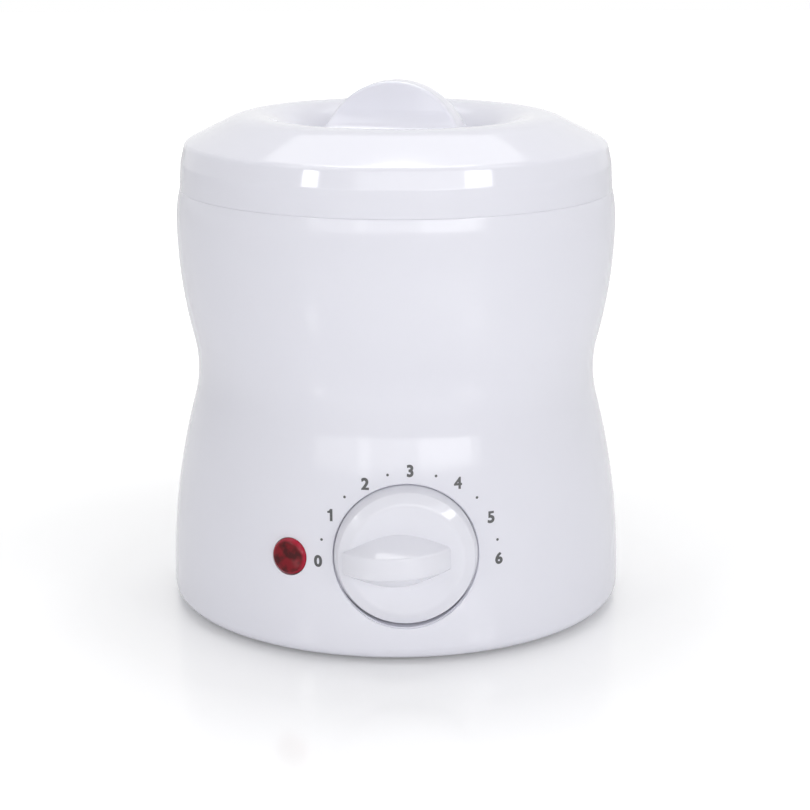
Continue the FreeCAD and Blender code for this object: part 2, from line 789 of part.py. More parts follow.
# ---------------------------------------------------------------- base cover, feet and their screws
COUNTERBORE = D.base_screw_head_height + D.base_screw_sink
cover_holes = []
for index, angle in enumerate(FOUR_CORNERS):
    x, y = around(BOSS_CIRCLE, angle)
    cover_holes.append(rod(f"cover_hole_{index}", D.base_screw_radius + FIT, D.cover_thickness, x, y,
                           COVER_BOTTOM))
    cover_holes.append(rod(f"cover_counterbore_{index}", D.base_screw_head_radius + FIT, COUNTERBORE, x, y,
                           COVER_BOTTOM))
for index, angle in enumerate(FOUR_SIDES):
    x, y = around(FOOT_CIRCLE, angle)
    cover_holes.append(rod(f"foot_recess_{index}", D.foot_radius + FIT, D.foot_recess, x, y, COVER_BOTTOM))
    cover_holes.append(rod(f"foot_hole_{index}", D.foot_plug_radius + FIT, D.cover_thickness, x, y,
                           COVER_BOTTOM))
for index, offset in enumerate(spread(D.vent_count, D.vent_pitch)):
    y = D.vent_middle + offset
    cover_holes.append(block(f"vent_{index}", (-D.vent_length / 2, y - D.vent_width / 2, COVER_BOTTOM),
                             (D.vent_length, D.vent_width, D.cover_thickness)))
for index, x in enumerate(BLOCK_SCREWS):
    cover_holes.append(rod(f"block_pilot_{index}", D.base_screw_radius + FIT, D.cover_thickness, x,
                           D.block_offset, COVER_BOTTOM))
cover_disc = rod("cover_disc", BASE_OPENING - D.cover_gap, D.cover_thickness, z=COVER_BOTTOM)
node("base_cover", cut("cover_solid", cover_disc, fuse("cover_holes", cover_holes)))


def foot(index, angle):
    """A rubber foot: pad, neck through the cover and the barb that keeps it there."""
    x, y = around(FOOT_CIRCLE, angle)
    shoulder = COVER_BOTTOM + D.foot_recess
    barb = D.foot_plug_radius + D.foot_barb
    return put(turned(f"foot_{index}", [
        (ZERO, ZERO), (D.foot_radius - D.foot_edge, ZERO), (D.foot_radius, D.foot_edge),
        (D.foot_radius, shoulder), (D.foot_plug_radius, shoulder), (D.foot_plug_radius, COVER_TOP),
        (barb, COVER_TOP), (D.foot_plug_radius, COVER_TOP + D.foot_plug_rise),
        (ZERO, COVER_TOP + D.foot_plug_rise)]), x, y)


node("feet", group("feet_set", [foot(index, angle) for index, angle in enumerate(FOUR_SIDES)]))


def pan_screw(name, shank, length, head, head_height, x, y, z, upward=False):
    """A pan-head screw with its head's seat at z, the shank running down, or up if upward."""
    way = Size.of(-1 if upward else 1)
    crown = head - head_height / 2
    return put(turned(name, [
        (ZERO, way * head_height), (crown, way * head_height), (head, way * head_height / 2), (head, ZERO),
        (shank, ZERO), (shank, -way * (length - shank)), (shank / 2, -way * length),
        (ZERO, -way * length)]), x, y, z)


base_screws = []
for index, angle in enumerate(FOUR_CORNERS):
    x, y = around(BOSS_CIRCLE, angle)
    base_screws.append(pan_screw(f"base_screw_{index}", D.base_screw_radius, D.base_screw_length,
                                 D.base_screw_head_radius, D.base_screw_head_height, x, y,
                                 COVER_BOTTOM + COUNTERBORE, upward=True))
node("base_screws", group("base_screw_set", base_screws))

# ---------------------------------------------------------------- heating well and its fixings
well = turned("well_body", [
    (ZERO, WELL_UNDER), (WELL_OUTER, WELL_UNDER), (WELL_OUTER, FLANGE), (FLANGE_RADIUS, FLANGE),
    (FLANGE_RADIUS, FLANGE_TOP), (WELL_RADIUS, FLANGE_TOP), (WELL_RADIUS, WELL_FLOOR),
    (ZERO, WELL_FLOOR)])
doc.recompute()
dress(well, "Fillet", circles_at(well.Shape, WELL_OUTER, WELL_UNDER), D.well_corner + D.well_wall, "under")
doc.recompute()
dress(well, "Fillet", circles_at(well.Shape, WELL_RADIUS, WELL_FLOOR), D.well_corner, "corner")
doc.recompute()
dress(well, "Fillet", circles_at(well.Shape, WELL_RADIUS, FLANGE_TOP), D.well_lip_round, "lip")
SHIELD_TOP = WELL_UNDER - D.shield_drop
SHIELD_UNDER = SHIELD_TOP - D.shield_thickness
TAG_UNDER = SHIELD_UNDER - D.tag_thickness
STUD_END = TAG_UNDER - D.shield_nut_height - D.stud_spare
stud = rod("well_stud", D.stud_radius, WELL_FLOOR - STUD_END - D.well_wall / 2, z=STUD_END)
flange_holes = [rod(f"flange_hole_{index}", D.well_screw_radius + FIT, D.well_wall,
                    *around(WELL_SCREW_CIRCLE, angle), FLANGE) for index, angle in enumerate(THREE_WAYS)]
well_solid = cut("well_drilled", fuse("well_with_stud", [well, stud]), fuse("flange_holes", flange_holes))
node("heating_well", well_solid)

gasket_ring = turned("gasket_ring", tube_corners(LEDGE_OPENING, FLANGE_RADIUS, LEDGE, FLANGE))
gasket_holes = [rod(f"gasket_hole_{index}", D.well_screw_radius + FIT, D.gasket_thickness,
                    *around(WELL_SCREW_CIRCLE, angle), LEDGE) for index, angle in enumerate(THREE_WAYS)]
node("well_gasket", cut("gasket_solid", gasket_ring, fuse("gasket_holes", gasket_holes)))
well_screws = [pan_screw(f"well_screw_{index}", D.well_screw_radius, D.well_screw_length,
                         D.well_screw_head_radius, D.well_screw_head_height,
                         *around(WELL_SCREW_CIRCLE, angle), FLANGE_TOP)
               for index, angle in enumerate(THREE_WAYS)]
node("well_screws", group("well_screw_set", well_screws))

# ---------------------------------------------------------------- band heater and insulation
BAND_INSIDE = WELL_OUTER + D.band_gap
BAND_OUTSIDE = BAND_INSIDE + D.band_thickness
BAND_LOW = WELL_FLOOR + D.band_rise
BAND_TOP = BAND_LOW + D.band_height
BAND_MIDDLE = BAND_LOW + D.band_height / 2
BOLT_Y = BAND_OUTSIDE + D.band_ear_length / 2
band_ring = turned("band_ring", tube_corners(BAND_INSIDE, BAND_OUTSIDE, BAND_LOW, BAND_TOP))
split = block("band_split_gap", (-D.band_split / 2, BAND_INSIDE - D.well_wall, BAND_LOW),
              (D.band_split, D.band_thickness + D.well_wall * 2, D.band_height))
EAR_ROOT = BAND_INSIDE + D.band_thickness / 2
EAR_LOW = BAND_MIDDLE - D.band_ear_height / 2
ears = []
for side, x in (("left", -D.band_split / 2 - D.band_ear_thickness), ("right", D.band_split / 2)):
    ears.append(block(f"band_ear_{side}", (x, EAR_ROOT, EAR_LOW),
                      (D.band_ear_thickness, D.band_thickness / 2 + D.band_ear_length, D.band_ear_height)))
bolt_hole = rod("band_bolt_hole", D.band_bolt_radius + FIT, D.band_split + D.band_ear_thickness * 2,
                -D.band_split / 2 - D.band_ear_thickness, BOLT_Y, BAND_MIDDLE, along="X")
band = cut("band_drilled", fuse("band_with_ears", [cut("band_opened", band_ring, split)] + ears), bolt_hole)
node("heater_band", band)

EAR_OUT = D.band_split / 2 + D.band_ear_thickness
HEAD_OUT = EAR_OUT + D.band_bolt_head_height
bolt_parts = [
    rod("bolt_shank", D.band_bolt_radius, EAR_OUT + HEAD_OUT + D.band_bolt_spare, -EAR_OUT, BOLT_Y,
        BAND_MIDDLE, along="X"),
    rod("bolt_head", D.band_bolt_head_radius, D.band_bolt_head_height, -HEAD_OUT, BOLT_Y, BAND_MIDDLE,
        along="X"),
    rod("bolt_nut", D.band_bolt_head_radius, D.band_bolt_head_height, EAR_OUT, BOLT_Y, BAND_MIDDLE,
        along="X"),
]
node("band_bolt", fuse("bolt_solid", bolt_parts))

SLEEVE_INSIDE = WELL_OUTER + D.sleeve_gap
SLEEVE_TOP = LEDGE - D.ledge_thickness - D.sleeve_headroom
node("insulation_sleeve", turned("sleeve_body", tube_corners(
    SLEEVE_INSIDE, SLEEVE_INSIDE + D.sleeve_thickness, BAND_TOP, SLEEVE_TOP)))

# ---------------------------------------------------------------- heat shield on the well's stud
STUD_HOLE = D.stud_radius + FIT
spacer = tube_corners(STUD_HOLE, D.shield_nut_radius, SHIELD_TOP, WELL_UNDER)
node("shield_spacer", turned("spacer_body", spacer))
shield_disc = turned("shield_disc", tube_corners(STUD_HOLE, SHIELD_RADIUS, SHIELD_UNDER, SHIELD_TOP))
WIRE_Y = -D.fuse_length / 2 - D.lead_run
wire_hole = rod("shield_wire_hole", D.shield_wire_hole, D.shield_thickness, D.fuse_offset, WIRE_Y,
                SHIELD_UNDER)
node("heat_shield", cut("shield_solid", shield_disc, wire_hole))


def hexagon(name, across, bore, low, height):
    """A hexagonal nut or flange about the upright axis."""
    piece = body(name)
    corners = [around(across, QUARTER_TURN * index * 2 / 3) for index in range(6)]
    pad(piece, polygon(sketch(piece, "XY_Plane", low), corners), height)
    pocket(piece, circle(sketch(piece, "XY_Plane", low), ZERO, ZERO, bore), height, "bore", reverse=True)
    return piece


node("shield_nut", hexagon("shield_nut_body", D.shield_nut_radius, STUD_HOLE, TAG_UNDER - D.shield_nut_height,
                           D.shield_nut_height))
tag_ring = turned("tag_ring", tube_corners(STUD_HOLE, D.tag_radius, TAG_UNDER, SHIELD_UNDER))
tag_tail = block("tag_tail", (-D.stud_radius, D.shield_nut_radius, TAG_UNDER),
                 (D.stud_radius * 2, D.tag_tail, D.tag_thickness))
node("earth_tag", fuse("tag_solid", [tag_ring, tag_tail]))

# ---------------------------------------------------------------- dial knob, clip and thermostat shaft
def on_dial(obj):
    """Seat a piece that was made about the Y axis on the dial, turned as the knob rests."""
    obj.Placement = Placement(vec(ZERO, ZERO, KNOB_Z), Rotation(ALONG, -D.knob_fin_tilt.value))
    bind(obj, "Placement.Base.z", KNOB_Z)
    bind(obj, "Placement.Rotation.Angle", -D.knob_fin_tilt)
    return obj


FIN_TIP = KNOB_FRONT - D.knob_fin_reach
FIN_FOOT_HALF = D.knob_fin_width / 2 + D.knob_fin_reach * tan_of(D.knob_fin_draft)
KNOB_SLOPE_RADIUS = D.knob_face_radius + D.knob_slope_width
SHAFT_FRONT = KNOB_BACK - D.shaft_grip
BORE_FLAT = D.shaft_flat + D.clip_thickness + FIT * 2


def dial_knob():
    """A disc with a flat face and a sloping rim, a wheel-shaped grip fin across it, bored for the shaft."""
    disc = turned_forward("knob_disc", [
        (ZERO, KNOB_FRONT), (D.knob_face_radius, KNOB_FRONT), (KNOB_SLOPE_RADIUS, KNOB_FRONT + D.knob_slope_drop),
        (D.knob_radius, KNOB_FRONT + D.knob_side_drop), (D.knob_radius, KNOB_BACK), (ZERO, KNOB_BACK)])
    half = D.knob_fin_width / 2
    core = D.knob_fin_arc - D.knob_fin_reach
    wheel = put(turned("knob_fin_wheel", [
        (ZERO, -FIN_FOOT_HALF), (core, -FIN_FOOT_HALF), (D.knob_fin_arc, -half), (D.knob_fin_arc, half),
        (core, FIN_FOOT_HALF), (ZERO, FIN_FOOT_HALF)]), x=-D.knob_fin_shift, y=FIN_TIP + D.knob_fin_arc)
    bound = rod("knob_fin_bound", KNOB_SLOPE_RADIUS, D.knob_fin_reach + D.knob_side_drop, y=FIN_TIP, along="Y")
    bore = rod("knob_bore", D.shaft_radius + FIT, D.shaft_grip + D.knob_back_gap / 2,
               y=SHAFT_FRONT - D.knob_back_gap / 2, along="Y")
    flat = block("knob_bore_flat", (-D.shaft_radius * 2, SHAFT_FRONT - D.knob_back_gap, BORE_FLAT),
                 (D.shaft_radius * 4, D.shaft_grip + D.knob_back_gap * 2, D.shaft_radius))
    whole = fuse("knob_whole", [disc, common("knob_fin", [wheel, bound])])
    return cut("knob_solid", whole, cut("knob_bore_tool", bore, flat))


node("dial_knob", on_dial(dial_knob()))
shaft_rod = rod("shaft_rod", D.shaft_radius, RECESS_INSIDE + D.thermostat_depth / 2 - SHAFT_FRONT,
                y=SHAFT_FRONT, along="Y")
shaft_flat = block("shaft_flat_cut", (-D.shaft_radius, SHAFT_FRONT, D.shaft_flat),
                   (D.shaft_radius * 2, D.shaft_grip, D.shaft_radius))
node("thermostat_shaft", on_dial(cut("shaft_solid", shaft_rod, shaft_flat)))
knob_clip = body("knob_clip_leaf")
clip_section = rectangle(sketch(knob_clip, "YZ_Plane"), SHAFT_FRONT, D.shaft_flat + FIT,
                         KNOB_BACK - D.clip_thickness, D.shaft_flat + FIT + D.clip_thickness)
pad(knob_clip, clip_section, D.clip_width, both_ways=True)
node("knob_clip", on_dial(knob_clip))

# ---------------------------------------------------------------- thermostat on the recess floor
case = block("thermostat_case", (-D.thermostat_width / 2, RECESS_INSIDE, KNOB_Z - D.thermostat_height / 2),
             (D.thermostat_width, D.thermostat_depth, D.thermostat_height))
bush = rod("thermostat_bush", D.thermostat_bush_radius, D.recess_wall, y=RECESS_FLOOR, z=KNOB_Z, along="Y")
case_holes = [rod("shaft_hole", D.shaft_radius + FIT, D.recess_wall + D.thermostat_depth / 2 + FIT,
                  y=RECESS_FLOOR, z=KNOB_Z, along="Y")]
for side, x in (("left", -D.thermostat_screw_spacing / 2), ("right", D.thermostat_screw_spacing / 2)):
    case_holes.append(rod(f"case_screw_hole_{side}", D.thermostat_screw_radius + FIT,
                          D.thermostat_screw_length, x, RECESS_INSIDE, KNOB_Z, along="Y"))
node("thermostat_body", cut("thermostat_solid", fuse("thermostat_case_and_bush", [case, bush]),
                            fuse("case_holes", case_holes)))
recess_screws = []
for side, x in (("left", -D.thermostat_screw_spacing / 2), ("right", D.thermostat_screw_spacing / 2)):
    screw = turned_forward(f"recess_screw_{side}", countersink(ZERO, D.thermostat_screw_length))
    recess_screws.append(put(screw, x=x, y=RECESS_FLOOR, z=KNOB_Z))
node("thermostat_screws", group("recess_screw_set", recess_screws))
CASE_REAR = RECESS_INSIDE + D.thermostat_depth
tabs = [block(f"thermostat_tab_{side}", (x - D.terminal_tab_width / 2, CASE_REAR, KNOB_Z),
              (D.terminal_tab_width, D.terminal_tab_length, D.terminal_tab_thickness))
        for side, x in (("left", -D.terminal_tab_spacing / 2), ("right", D.terminal_tab_spacing / 2))]
node("thermostat_tabs", group("thermostat_tab_set", tabs))

# ---------------------------------------------------------------- sensing bulb, fuse and their straps
def strap(name, x, radius):
    """A hat-shaped strap, spot-welded under the well, round a rod of this radius."""
    piece = body(name)
    inside = radius + D.strap_gap
    outside = inside + D.strap_thickness
    edge = outside + D.strap_foot
    under = WELL_UNDER - D.strap_thickness
    inner_low = WELL_UNDER - inside * 2
    outer_low = inner_low - D.strap_thickness
    pad(piece, polygon(sketch(piece, "XZ_Plane"), [
        (-edge, WELL_UNDER), (-edge, under), (-outside, under), (-outside, outer_low), (outside, outer_low),
        (outside, under), (edge, under), (edge, WELL_UNDER), (inside, WELL_UNDER), (inside, inner_low),
        (-inside, inner_low), (-inside, WELL_UNDER)]), D.strap_width, both_ways=True)
    return put(piece, x=x)


def lying_rod(name, x, radius, length, z):
    return rod(name, radius, length, x, -length / 2, z, along="Y")


BULB_Z = WELL_UNDER - D.strap_gap - D.bulb_radius
FUSE_Z = WELL_UNDER - D.strap_gap - D.fuse_radius
node("bulb_strap", strap("bulb_strap_body", -D.bulb_offset, D.bulb_radius))
node("sensing_bulb", lying_rod("bulb_rod", -D.bulb_offset, D.bulb_radius, D.bulb_length, BULB_Z))
node("fuse_strap", strap("fuse_strap_body", D.fuse_offset, D.fuse_radius))
node("thermal_fuse", lying_rod("fuse_rod", D.fuse_offset, D.fuse_radius, D.fuse_length, FUSE_Z))


def bent_tube(name, points, radius, bend):
    """A round tube or lead along straight runs joined by arcs of this bend radius."""
    edges = []
    start = points[0]
    for corner, after in zip(points[1:-1], points[2:]):
        into = (corner - start).normalize()
        out = (after - corner).normalize()
        half_turn = into.getAngle(out) / 2
        back = bend * math.tan(half_turn)
        entry = corner - into * back
        leave = corner + out * back
        middle = corner + (out - into).normalize() * (bend / math.cos(half_turn) - bend)
        edges.append(Part.LineSegment(start, entry).toShape())
        edges.append(Part.Arc(entry, middle, leave).toShape())
        start = leave
    edges.append(Part.LineSegment(start, points[-1]).toShape())
    path = Part.Wire(edges)
    ring = Part.Wire(Part.Circle(points[0], points[1] - points[0], radius).toShape())
    made = doc.addObject("Part::Feature", name)
    made.Shape = path.makePipeShell([ring], True, True)
    expected = math.pi * radius ** 2 * path.Length
    if abs(made.Shape.Volume - expected) > expected / 100:
        raise RuntimeError(f"{name} isn't swept along its whole path")
    return made


CAPILLARY_Y = -SHIELD_RADIUS - D.capillary_gap
capillary_points = [vec(-D.bulb_offset, CAPILLARY_Y, KNOB_Z + D.thermostat_height / 2),
                    vec(-D.bulb_offset, CAPILLARY_Y, BULB_Z),
                    vec(-D.bulb_offset, -D.bulb_length / 2, BULB_Z)]
node("capillary_tube", bent_tube("capillary", capillary_points, D.capillary_radius.value,
                                 D.capillary_bend.value))

# ---------------------------------------------------------------- indicator lamp
LENS_FACE = -LENS_REACH
BARREL_END = LENS_FACE + D.lens_thickness + D.lamp_barrel_length
lens = turned_forward("lens_body", [
    (ZERO, LENS_FACE), (D.lens_radius - D.lens_round, LENS_FACE), (D.lens_radius, LENS_FACE + D.lens_round),
    (D.lens_radius, -LENS_BACK), (D.lamp_barrel_radius, -LENS_BACK), (D.lamp_barrel_radius, BARREL_END),
    (D.lamp_bore_radius, BARREL_END), (D.lamp_bore_radius, LENS_FACE + D.lens_thickness / 2),
    (ZERO, LENS_FACE + D.lens_thickness / 2)])
node("indicator_lens", put(lens, z=LAMP_Z, yaw=-D.lamp_angle))
NEON = D.lamp_bore_radius - FIT
TAB_HALF = NEON / 2
lamp_core = turned_forward("lamp_core", [
    (ZERO, LENS_FACE + D.lens_thickness), (NEON, LENS_FACE + D.lens_thickness), (NEON, BARREL_END),
    (D.lamp_barrel_radius, BARREL_END), (D.lamp_barrel_radius, BARREL_END + D.lens_thickness),
    (ZERO, BARREL_END + D.lens_thickness)])
LAMP_REAR = BARREL_END + D.lens_thickness
lamp_tabs = body("lamp_tabs")
for side, x in (("left", -D.lamp_barrel_radius / 2), ("right", D.lamp_barrel_radius / 2)):
    drawn = rectangle(sketch(lamp_tabs, "XZ_Plane", -LAMP_REAR), x - D.terminal_tab_thickness / 2, -TAB_HALF,
                      x + D.terminal_tab_thickness / 2, TAB_HALF)
    lamp_tabs.AllowCompound = True
    made = pad(lamp_tabs, drawn, D.lamp_tab_length, name=f"tab_{side}")
    made.Reversed = True
node("neon_lamp", put(lamp_core, z=LAMP_Z, yaw=-D.lamp_angle))
node("lamp_tabs", put(lamp_tabs, z=LAMP_Z, yaw=-D.lamp_angle))
clip = turned_forward("lamp_clip_body", tube_corners(
    D.lamp_barrel_radius + FIT, D.lamp_clip_radius, -LAMP_SEAT, -LAMP_SEAT + D.lamp_clip_thickness))
node("lamp_clip", put(clip, z=LAMP_Z, yaw=-D.lamp_angle))

# ---------------------------------------------------------------- cord inlet at the back
def hexagon_behind(name, across, bore, near, length):
    """A hexagonal flange or nut about the inlet's axis."""
    piece = body(name)
    corners = [around(across, QUARTER_TURN * index * 2 / 3) for index in range(6)]
    pad(piece, polygon(sketch(piece, "XZ_Plane", -near - length), corners), length)
    pocket(piece, circle(sketch(piece, "XZ_Plane", -near), ZERO, ZERO, bore), length, "bore")
    return piece


HEX_OUT = GLAND_SEAT + D.gland_hex_thickness
STUB_END = HEX_OUT + D.gland_stub_length
CAP_BORE = D.gland_stub_radius + FIT
THREAD_IN = GLAND_SEAT - D.gland_thread_length
gland_hex = hexagon_behind("gland_hex", D.gland_hex_radius, D.gland_bore_radius, GLAND_SEAT,
                           D.gland_hex_thickness)
gland_thread = turned_forward("gland_thread", tube_corners(
    D.gland_bore_radius, D.gland_thread_radius, THREAD_IN, GLAND_SEAT))
gland_stub = turned_forward("gland_stub", tube_corners(
    D.gland_bore_radius, D.gland_stub_radius, HEX_OUT, STUB_END))
gland_body = fuse("gland_solid", [gland_hex, gland_thread, gland_stub])
node("cord_gland", put(gland_body, z=GLAND_Z))
CAP_END = HEX_OUT + D.gland_cap_length
gland_cap = turned_forward("gland_cap_body", [
    (CAP_BORE, HEX_OUT), (D.gland_cap_radius, HEX_OUT), (D.gland_cap_radius, STUB_END),
    (D.gland_cap_crown, CAP_END), (D.gland_bore_radius, CAP_END), (D.gland_bore_radius, STUB_END),
    (CAP_BORE, STUB_END)])
node("gland_cap", put(gland_cap, z=GLAND_Z))
gland_nut = hexagon_behind("gland_nut_body", D.gland_hex_radius, D.gland_thread_radius + FIT,
                           GLAND_SEAT_INSIDE - D.gland_nut_thickness, D.gland_nut_thickness)
node("gland_nut", put(gland_nut, z=GLAND_Z))

# ---------------------------------------------------------------- terminal block and leads
BLOCK_LENGTH = D.block_ways * D.block_pitch + D.block_end_margin
BLOCK_TOP = COVER_TOP + D.block_height
BLOCK_FRONT = D.block_offset - D.block_width / 2
BLOCK_REAR = D.block_offset + D.block_width / 2
ENTRY_Z = COVER_TOP + D.block_entry_height
SCREW_Y = BLOCK_FRONT + D.block_entry_depth
block_case = block("block_case", (-BLOCK_LENGTH / 2, BLOCK_FRONT, COVER_TOP),
                   (BLOCK_LENGTH, D.block_width, D.block_height))
block_holes = [rod(f"block_fixing_hole_{index}", D.base_screw_radius + FIT, D.block_height, x, D.block_offset,
                   COVER_TOP) for index, x in enumerate(BLOCK_SCREWS)]
for index, x in enumerate(WAYS):
    block_holes.append(rod(f"block_bore_{index}", D.block_bore_radius, D.block_width, x, BLOCK_FRONT, ENTRY_Z,
                           along="Y"))
    block_holes.append(rod(f"block_screw_hole_{index}", D.block_screw_radius + FIT, D.block_screw_depth, x,
                           SCREW_Y, BLOCK_TOP - D.block_screw_depth))
node("terminal_block", cut("terminal_block_solid", block_case, fuse("block_holes", block_holes)))
block_screws = [rod(f"block_screw_{index}", D.block_screw_radius, D.block_screw_depth - D.block_screw_sink,
                    x, SCREW_Y, BLOCK_TOP - D.block_screw_depth) for index, x in enumerate(WAYS)]
node("terminal_screws", group("terminal_screw_set", block_screws))
fixing_screws = [pan_screw(f"block_fixing_{index}", D.base_screw_radius, D.block_height + D.cover_thickness,
                           D.block_fixing_head, D.base_screw_head_height, x, D.block_offset, BLOCK_TOP)
                 for index, x in enumerate(BLOCK_SCREWS)]
node("block_screws", group("block_fixing_set", fixing_screws))


def lead(name, points):
    """An insulated wire along these points, with the leads' own bend."""
    return bent_tube(name, [vec(*point) for point in points], D.lead_radius.value, D.lead_bend.value)


def into_way(x):
    """The last two points of a lead that enters a way of the block from the front."""
    return [(x, BLOCK_FRONT - D.lead_run, ENTRY_Z), (x, BLOCK_FRONT + D.block_entry_depth, ENTRY_Z)]


BAND_LEAD_RADIUS = (BAND_INSIDE + BAND_OUTSIDE) / 2


def band_lead_y(x):
    """How far back the band's middle lies at this x."""
    return root_of(BAND_LEAD_RADIUS * BAND_LEAD_RADIUS - x * x)


LEFT_WAY = WAYS[0]
heater_lead = lead("heater_lead_run", [
    (LEFT_WAY, band_lead_y(LEFT_WAY), BAND_LOW), (LEFT_WAY, band_lead_y(LEFT_WAY), ENTRY_Z),
    (LEFT_WAY, BLOCK_REAR - D.block_entry_depth, ENTRY_Z)])
node("heater_lead", heater_lead)
FUSE_FEED_Y = band_lead_y(D.fuse_offset)
fuse_feed = lead("fuse_feed_run", [
    (D.fuse_offset, FUSE_FEED_Y, BAND_LOW), (D.fuse_offset, FUSE_FEED_Y, FUSE_Z),
    (D.fuse_offset, D.fuse_length / 2, FUSE_Z)])
fuse_return = lead("fuse_return_run", [
    (D.fuse_offset, -D.fuse_length / 2, FUSE_Z), (D.fuse_offset, WIRE_Y, FUSE_Z),
    (D.fuse_offset, WIRE_Y, KNOB_Z)] + into_way(WAYS[-1]))
node("fuse_leads", group("fuse_lead_set", [fuse_feed, fuse_return]))
TAB_END = CASE_REAR + D.terminal_tab_length
TAB_LEVEL = KNOB_Z + D.terminal_tab_thickness / 2
thermostat_leads = [
    lead(f"thermostat_lead_{side}", [(x, TAB_END, TAB_LEVEL), (x, TAB_END + D.lead_run, TAB_LEVEL)]
         + into_way(way))
    for side, x, way in (("left", -D.terminal_tab_spacing / 2, WAYS[3]),
                         ("right", D.terminal_tab_spacing / 2, WAYS[4]))]
node("thermostat_leads", group("thermostat_lead_set", thermostat_leads))
LAMP_TAB_END = -LAMP_REAR - D.lamp_tab_length


def behind_lamp(aside, reach):
    """A point in the lamp's own level plane: aside from its axis, this far from the heater's axis."""
    return (aside * cos_of(D.lamp_angle) - reach * sin_of(D.lamp_angle),
            -aside * sin_of(D.lamp_angle) - reach * cos_of(D.lamp_angle), LAMP_Z)


lamp_leads = [
    lead(f"lamp_lead_{side}", [behind_lamp(aside, LAMP_TAB_END),
                               behind_lamp(aside, LAMP_TAB_END - D.lead_run)] + into_way(way))
    for side, aside, way in (("left", -D.lamp_barrel_radius / 2, WAYS[0]),
                             ("right", D.lamp_barrel_radius / 2, WAYS[1]))]
node("lamp_leads", group("lamp_lead_set", lamp_leads))
TAG_Y = D.shield_nut_radius + D.tag_tail - D.stud_radius
node("earth_lead", lead("earth_lead_run", [
    (ZERO, TAG_Y, TAG_UNDER), (ZERO, TAG_Y, KNOB_Z), (WAYS[2], BLOCK_FRONT - D.lead_run, KNOB_Z / 2)]
    + into_way(WAYS[2])))

# ---------------------------------------------------------------- wax pot, lugs and bail
POT_INSIDE = POT_OUTER - D.pot_wall
RIM_Z = POT_TOP - D.pot_rim_radius
pot = turned("pot_body", [
    (ZERO, WELL_FLOOR), (POT_OUTER, WELL_FLOOR), (POT_OUTER, RIM_Z), (POT_INSIDE, RIM_Z),
    (POT_INSIDE, WELL_FLOOR + D.pot_wall), (ZERO, WELL_FLOOR + D.pot_wall)])
doc.recompute()
dress(pot, "Fillet", circles_at(pot.Shape, POT_OUTER, WELL_FLOOR), D.pot_corner, "outer_corner")
doc.recompute()
dress(pot, "Fillet", circles_at(pot.Shape, POT_INSIDE, WELL_FLOOR + D.pot_wall), D.pot_corner - D.pot_wall,
      "inner_corner")
revolve(pot, circle(sketch(pot, "XZ_Plane"), POT_INSIDE + D.pot_rim_radius, RIM_Z, D.pot_rim_radius), "rim")
node("wax_pot", pot)

LUG_LOW = FLANGE_TOP + D.lug_lift
BAIL_Z = LUG_LOW + D.lug_height / 2
LUG_OUT = POT_OUTER + D.lug_reach
WIRE_HOLE = D.bail_wire_radius + D.bail_play
lugs = []
for side, low_x, bore_x in (("left", -LUG_OUT, -LUG_OUT), ("right", POT_OUTER - D.lug_reach, POT_OUTER)):
    lump = block(f"lug_{side}", (low_x, -D.lug_width / 2, LUG_LOW),
                 (D.lug_reach * 2, D.lug_width, D.lug_height))
    hole = rod(f"lug_bore_{side}", WIRE_HOLE, D.lug_reach, bore_x, ZERO, BAIL_Z, along="X")
    wall = rod(f"lug_seat_{side}", POT_OUTER, D.lug_height, z=LUG_LOW)
    lugs.append(cut(f"lug_solid_{side}", lump, fuse(f"lug_tool_{side}", [wall, hole])))
node("bail_lugs", group("lug_set", lugs))


def bail():
    """A round wire bent to a half ring, its two ends turned in to the lugs."""
    piece = body("bail_body")
    start_x = POT_OUTER + D.bail_wire_radius / 2
    turn_x = BAIL_RADIUS - D.bail_corner
    path = sketch(piece, "XY_Plane", BAIL_Z)
    top = math.pi / 2
    shapes = [
        Part.LineSegment(vec(start_x, ZERO), vec(turn_x, ZERO)),
        Part.ArcOfCircle(Part.Circle(vec(turn_x, D.bail_corner), UP, D.bail_corner.value), -top, 0),
        Part.ArcOfCircle(Part.Circle(vec(ZERO, D.bail_corner), UP, BAIL_RADIUS.value), 0, 2 * top),
        Part.ArcOfCircle(Part.Circle(vec(-turn_x, D.bail_corner), UP, D.bail_corner.value), 2 * top, 3 * top),
        Part.LineSegment(vec(-turn_x, ZERO), vec(-start_x, ZERO)),
    ]
    first, near, ring, far, last = [path.addGeometry(item, False) for item in shapes]
    for pair in ((first, 2, near, 1), (near, 2, ring, 1), (ring, 2, far, 1), (far, 2, last, 1)):
        path.addConstraint(Sketcher.Constraint("Coincident", *pair))
    tie(path, first, 1, start_x, ZERO)
    tie(path, first, 2, turn_x, ZERO)
    tie(path, near, 3, turn_x, D.bail_corner)
    hold_place(path, "DistanceY", near, 2, D.bail_corner)
    tie(path, ring, 3, ZERO, D.bail_corner)
    tie(path, far, 3, -turn_x, D.bail_corner)
    hold_place(path, "DistanceY", ring, 2, D.bail_corner)
    hold_place(path, "DistanceX", last, 1, -turn_x)
    tie(path, last, 2, -start_x, ZERO)
    section = circle(sketch(piece, "YZ_Plane", start_x), ZERO, BAIL_Z, D.bail_wire_radius)
    swept = feature(piece, "AdditivePipe", section, "wire")
    swept.Spine = path
    piece.Tip = swept
    return piece


node("bail_handle", bail())

# ---------------------------------------------------------------- lid
def tangent_normal(first, first_round, second, second_round):
    """Unit normal of the line that touches two circles; a negative radius means touched from beneath."""
    reach = second - first
    spread = math.acos((first_round.value - second_round.value) / reach.Length)
    angle = math.atan2(reach.y, reach.x) - spread
    return Vector(math.cos(angle), math.sin(angle), 0)


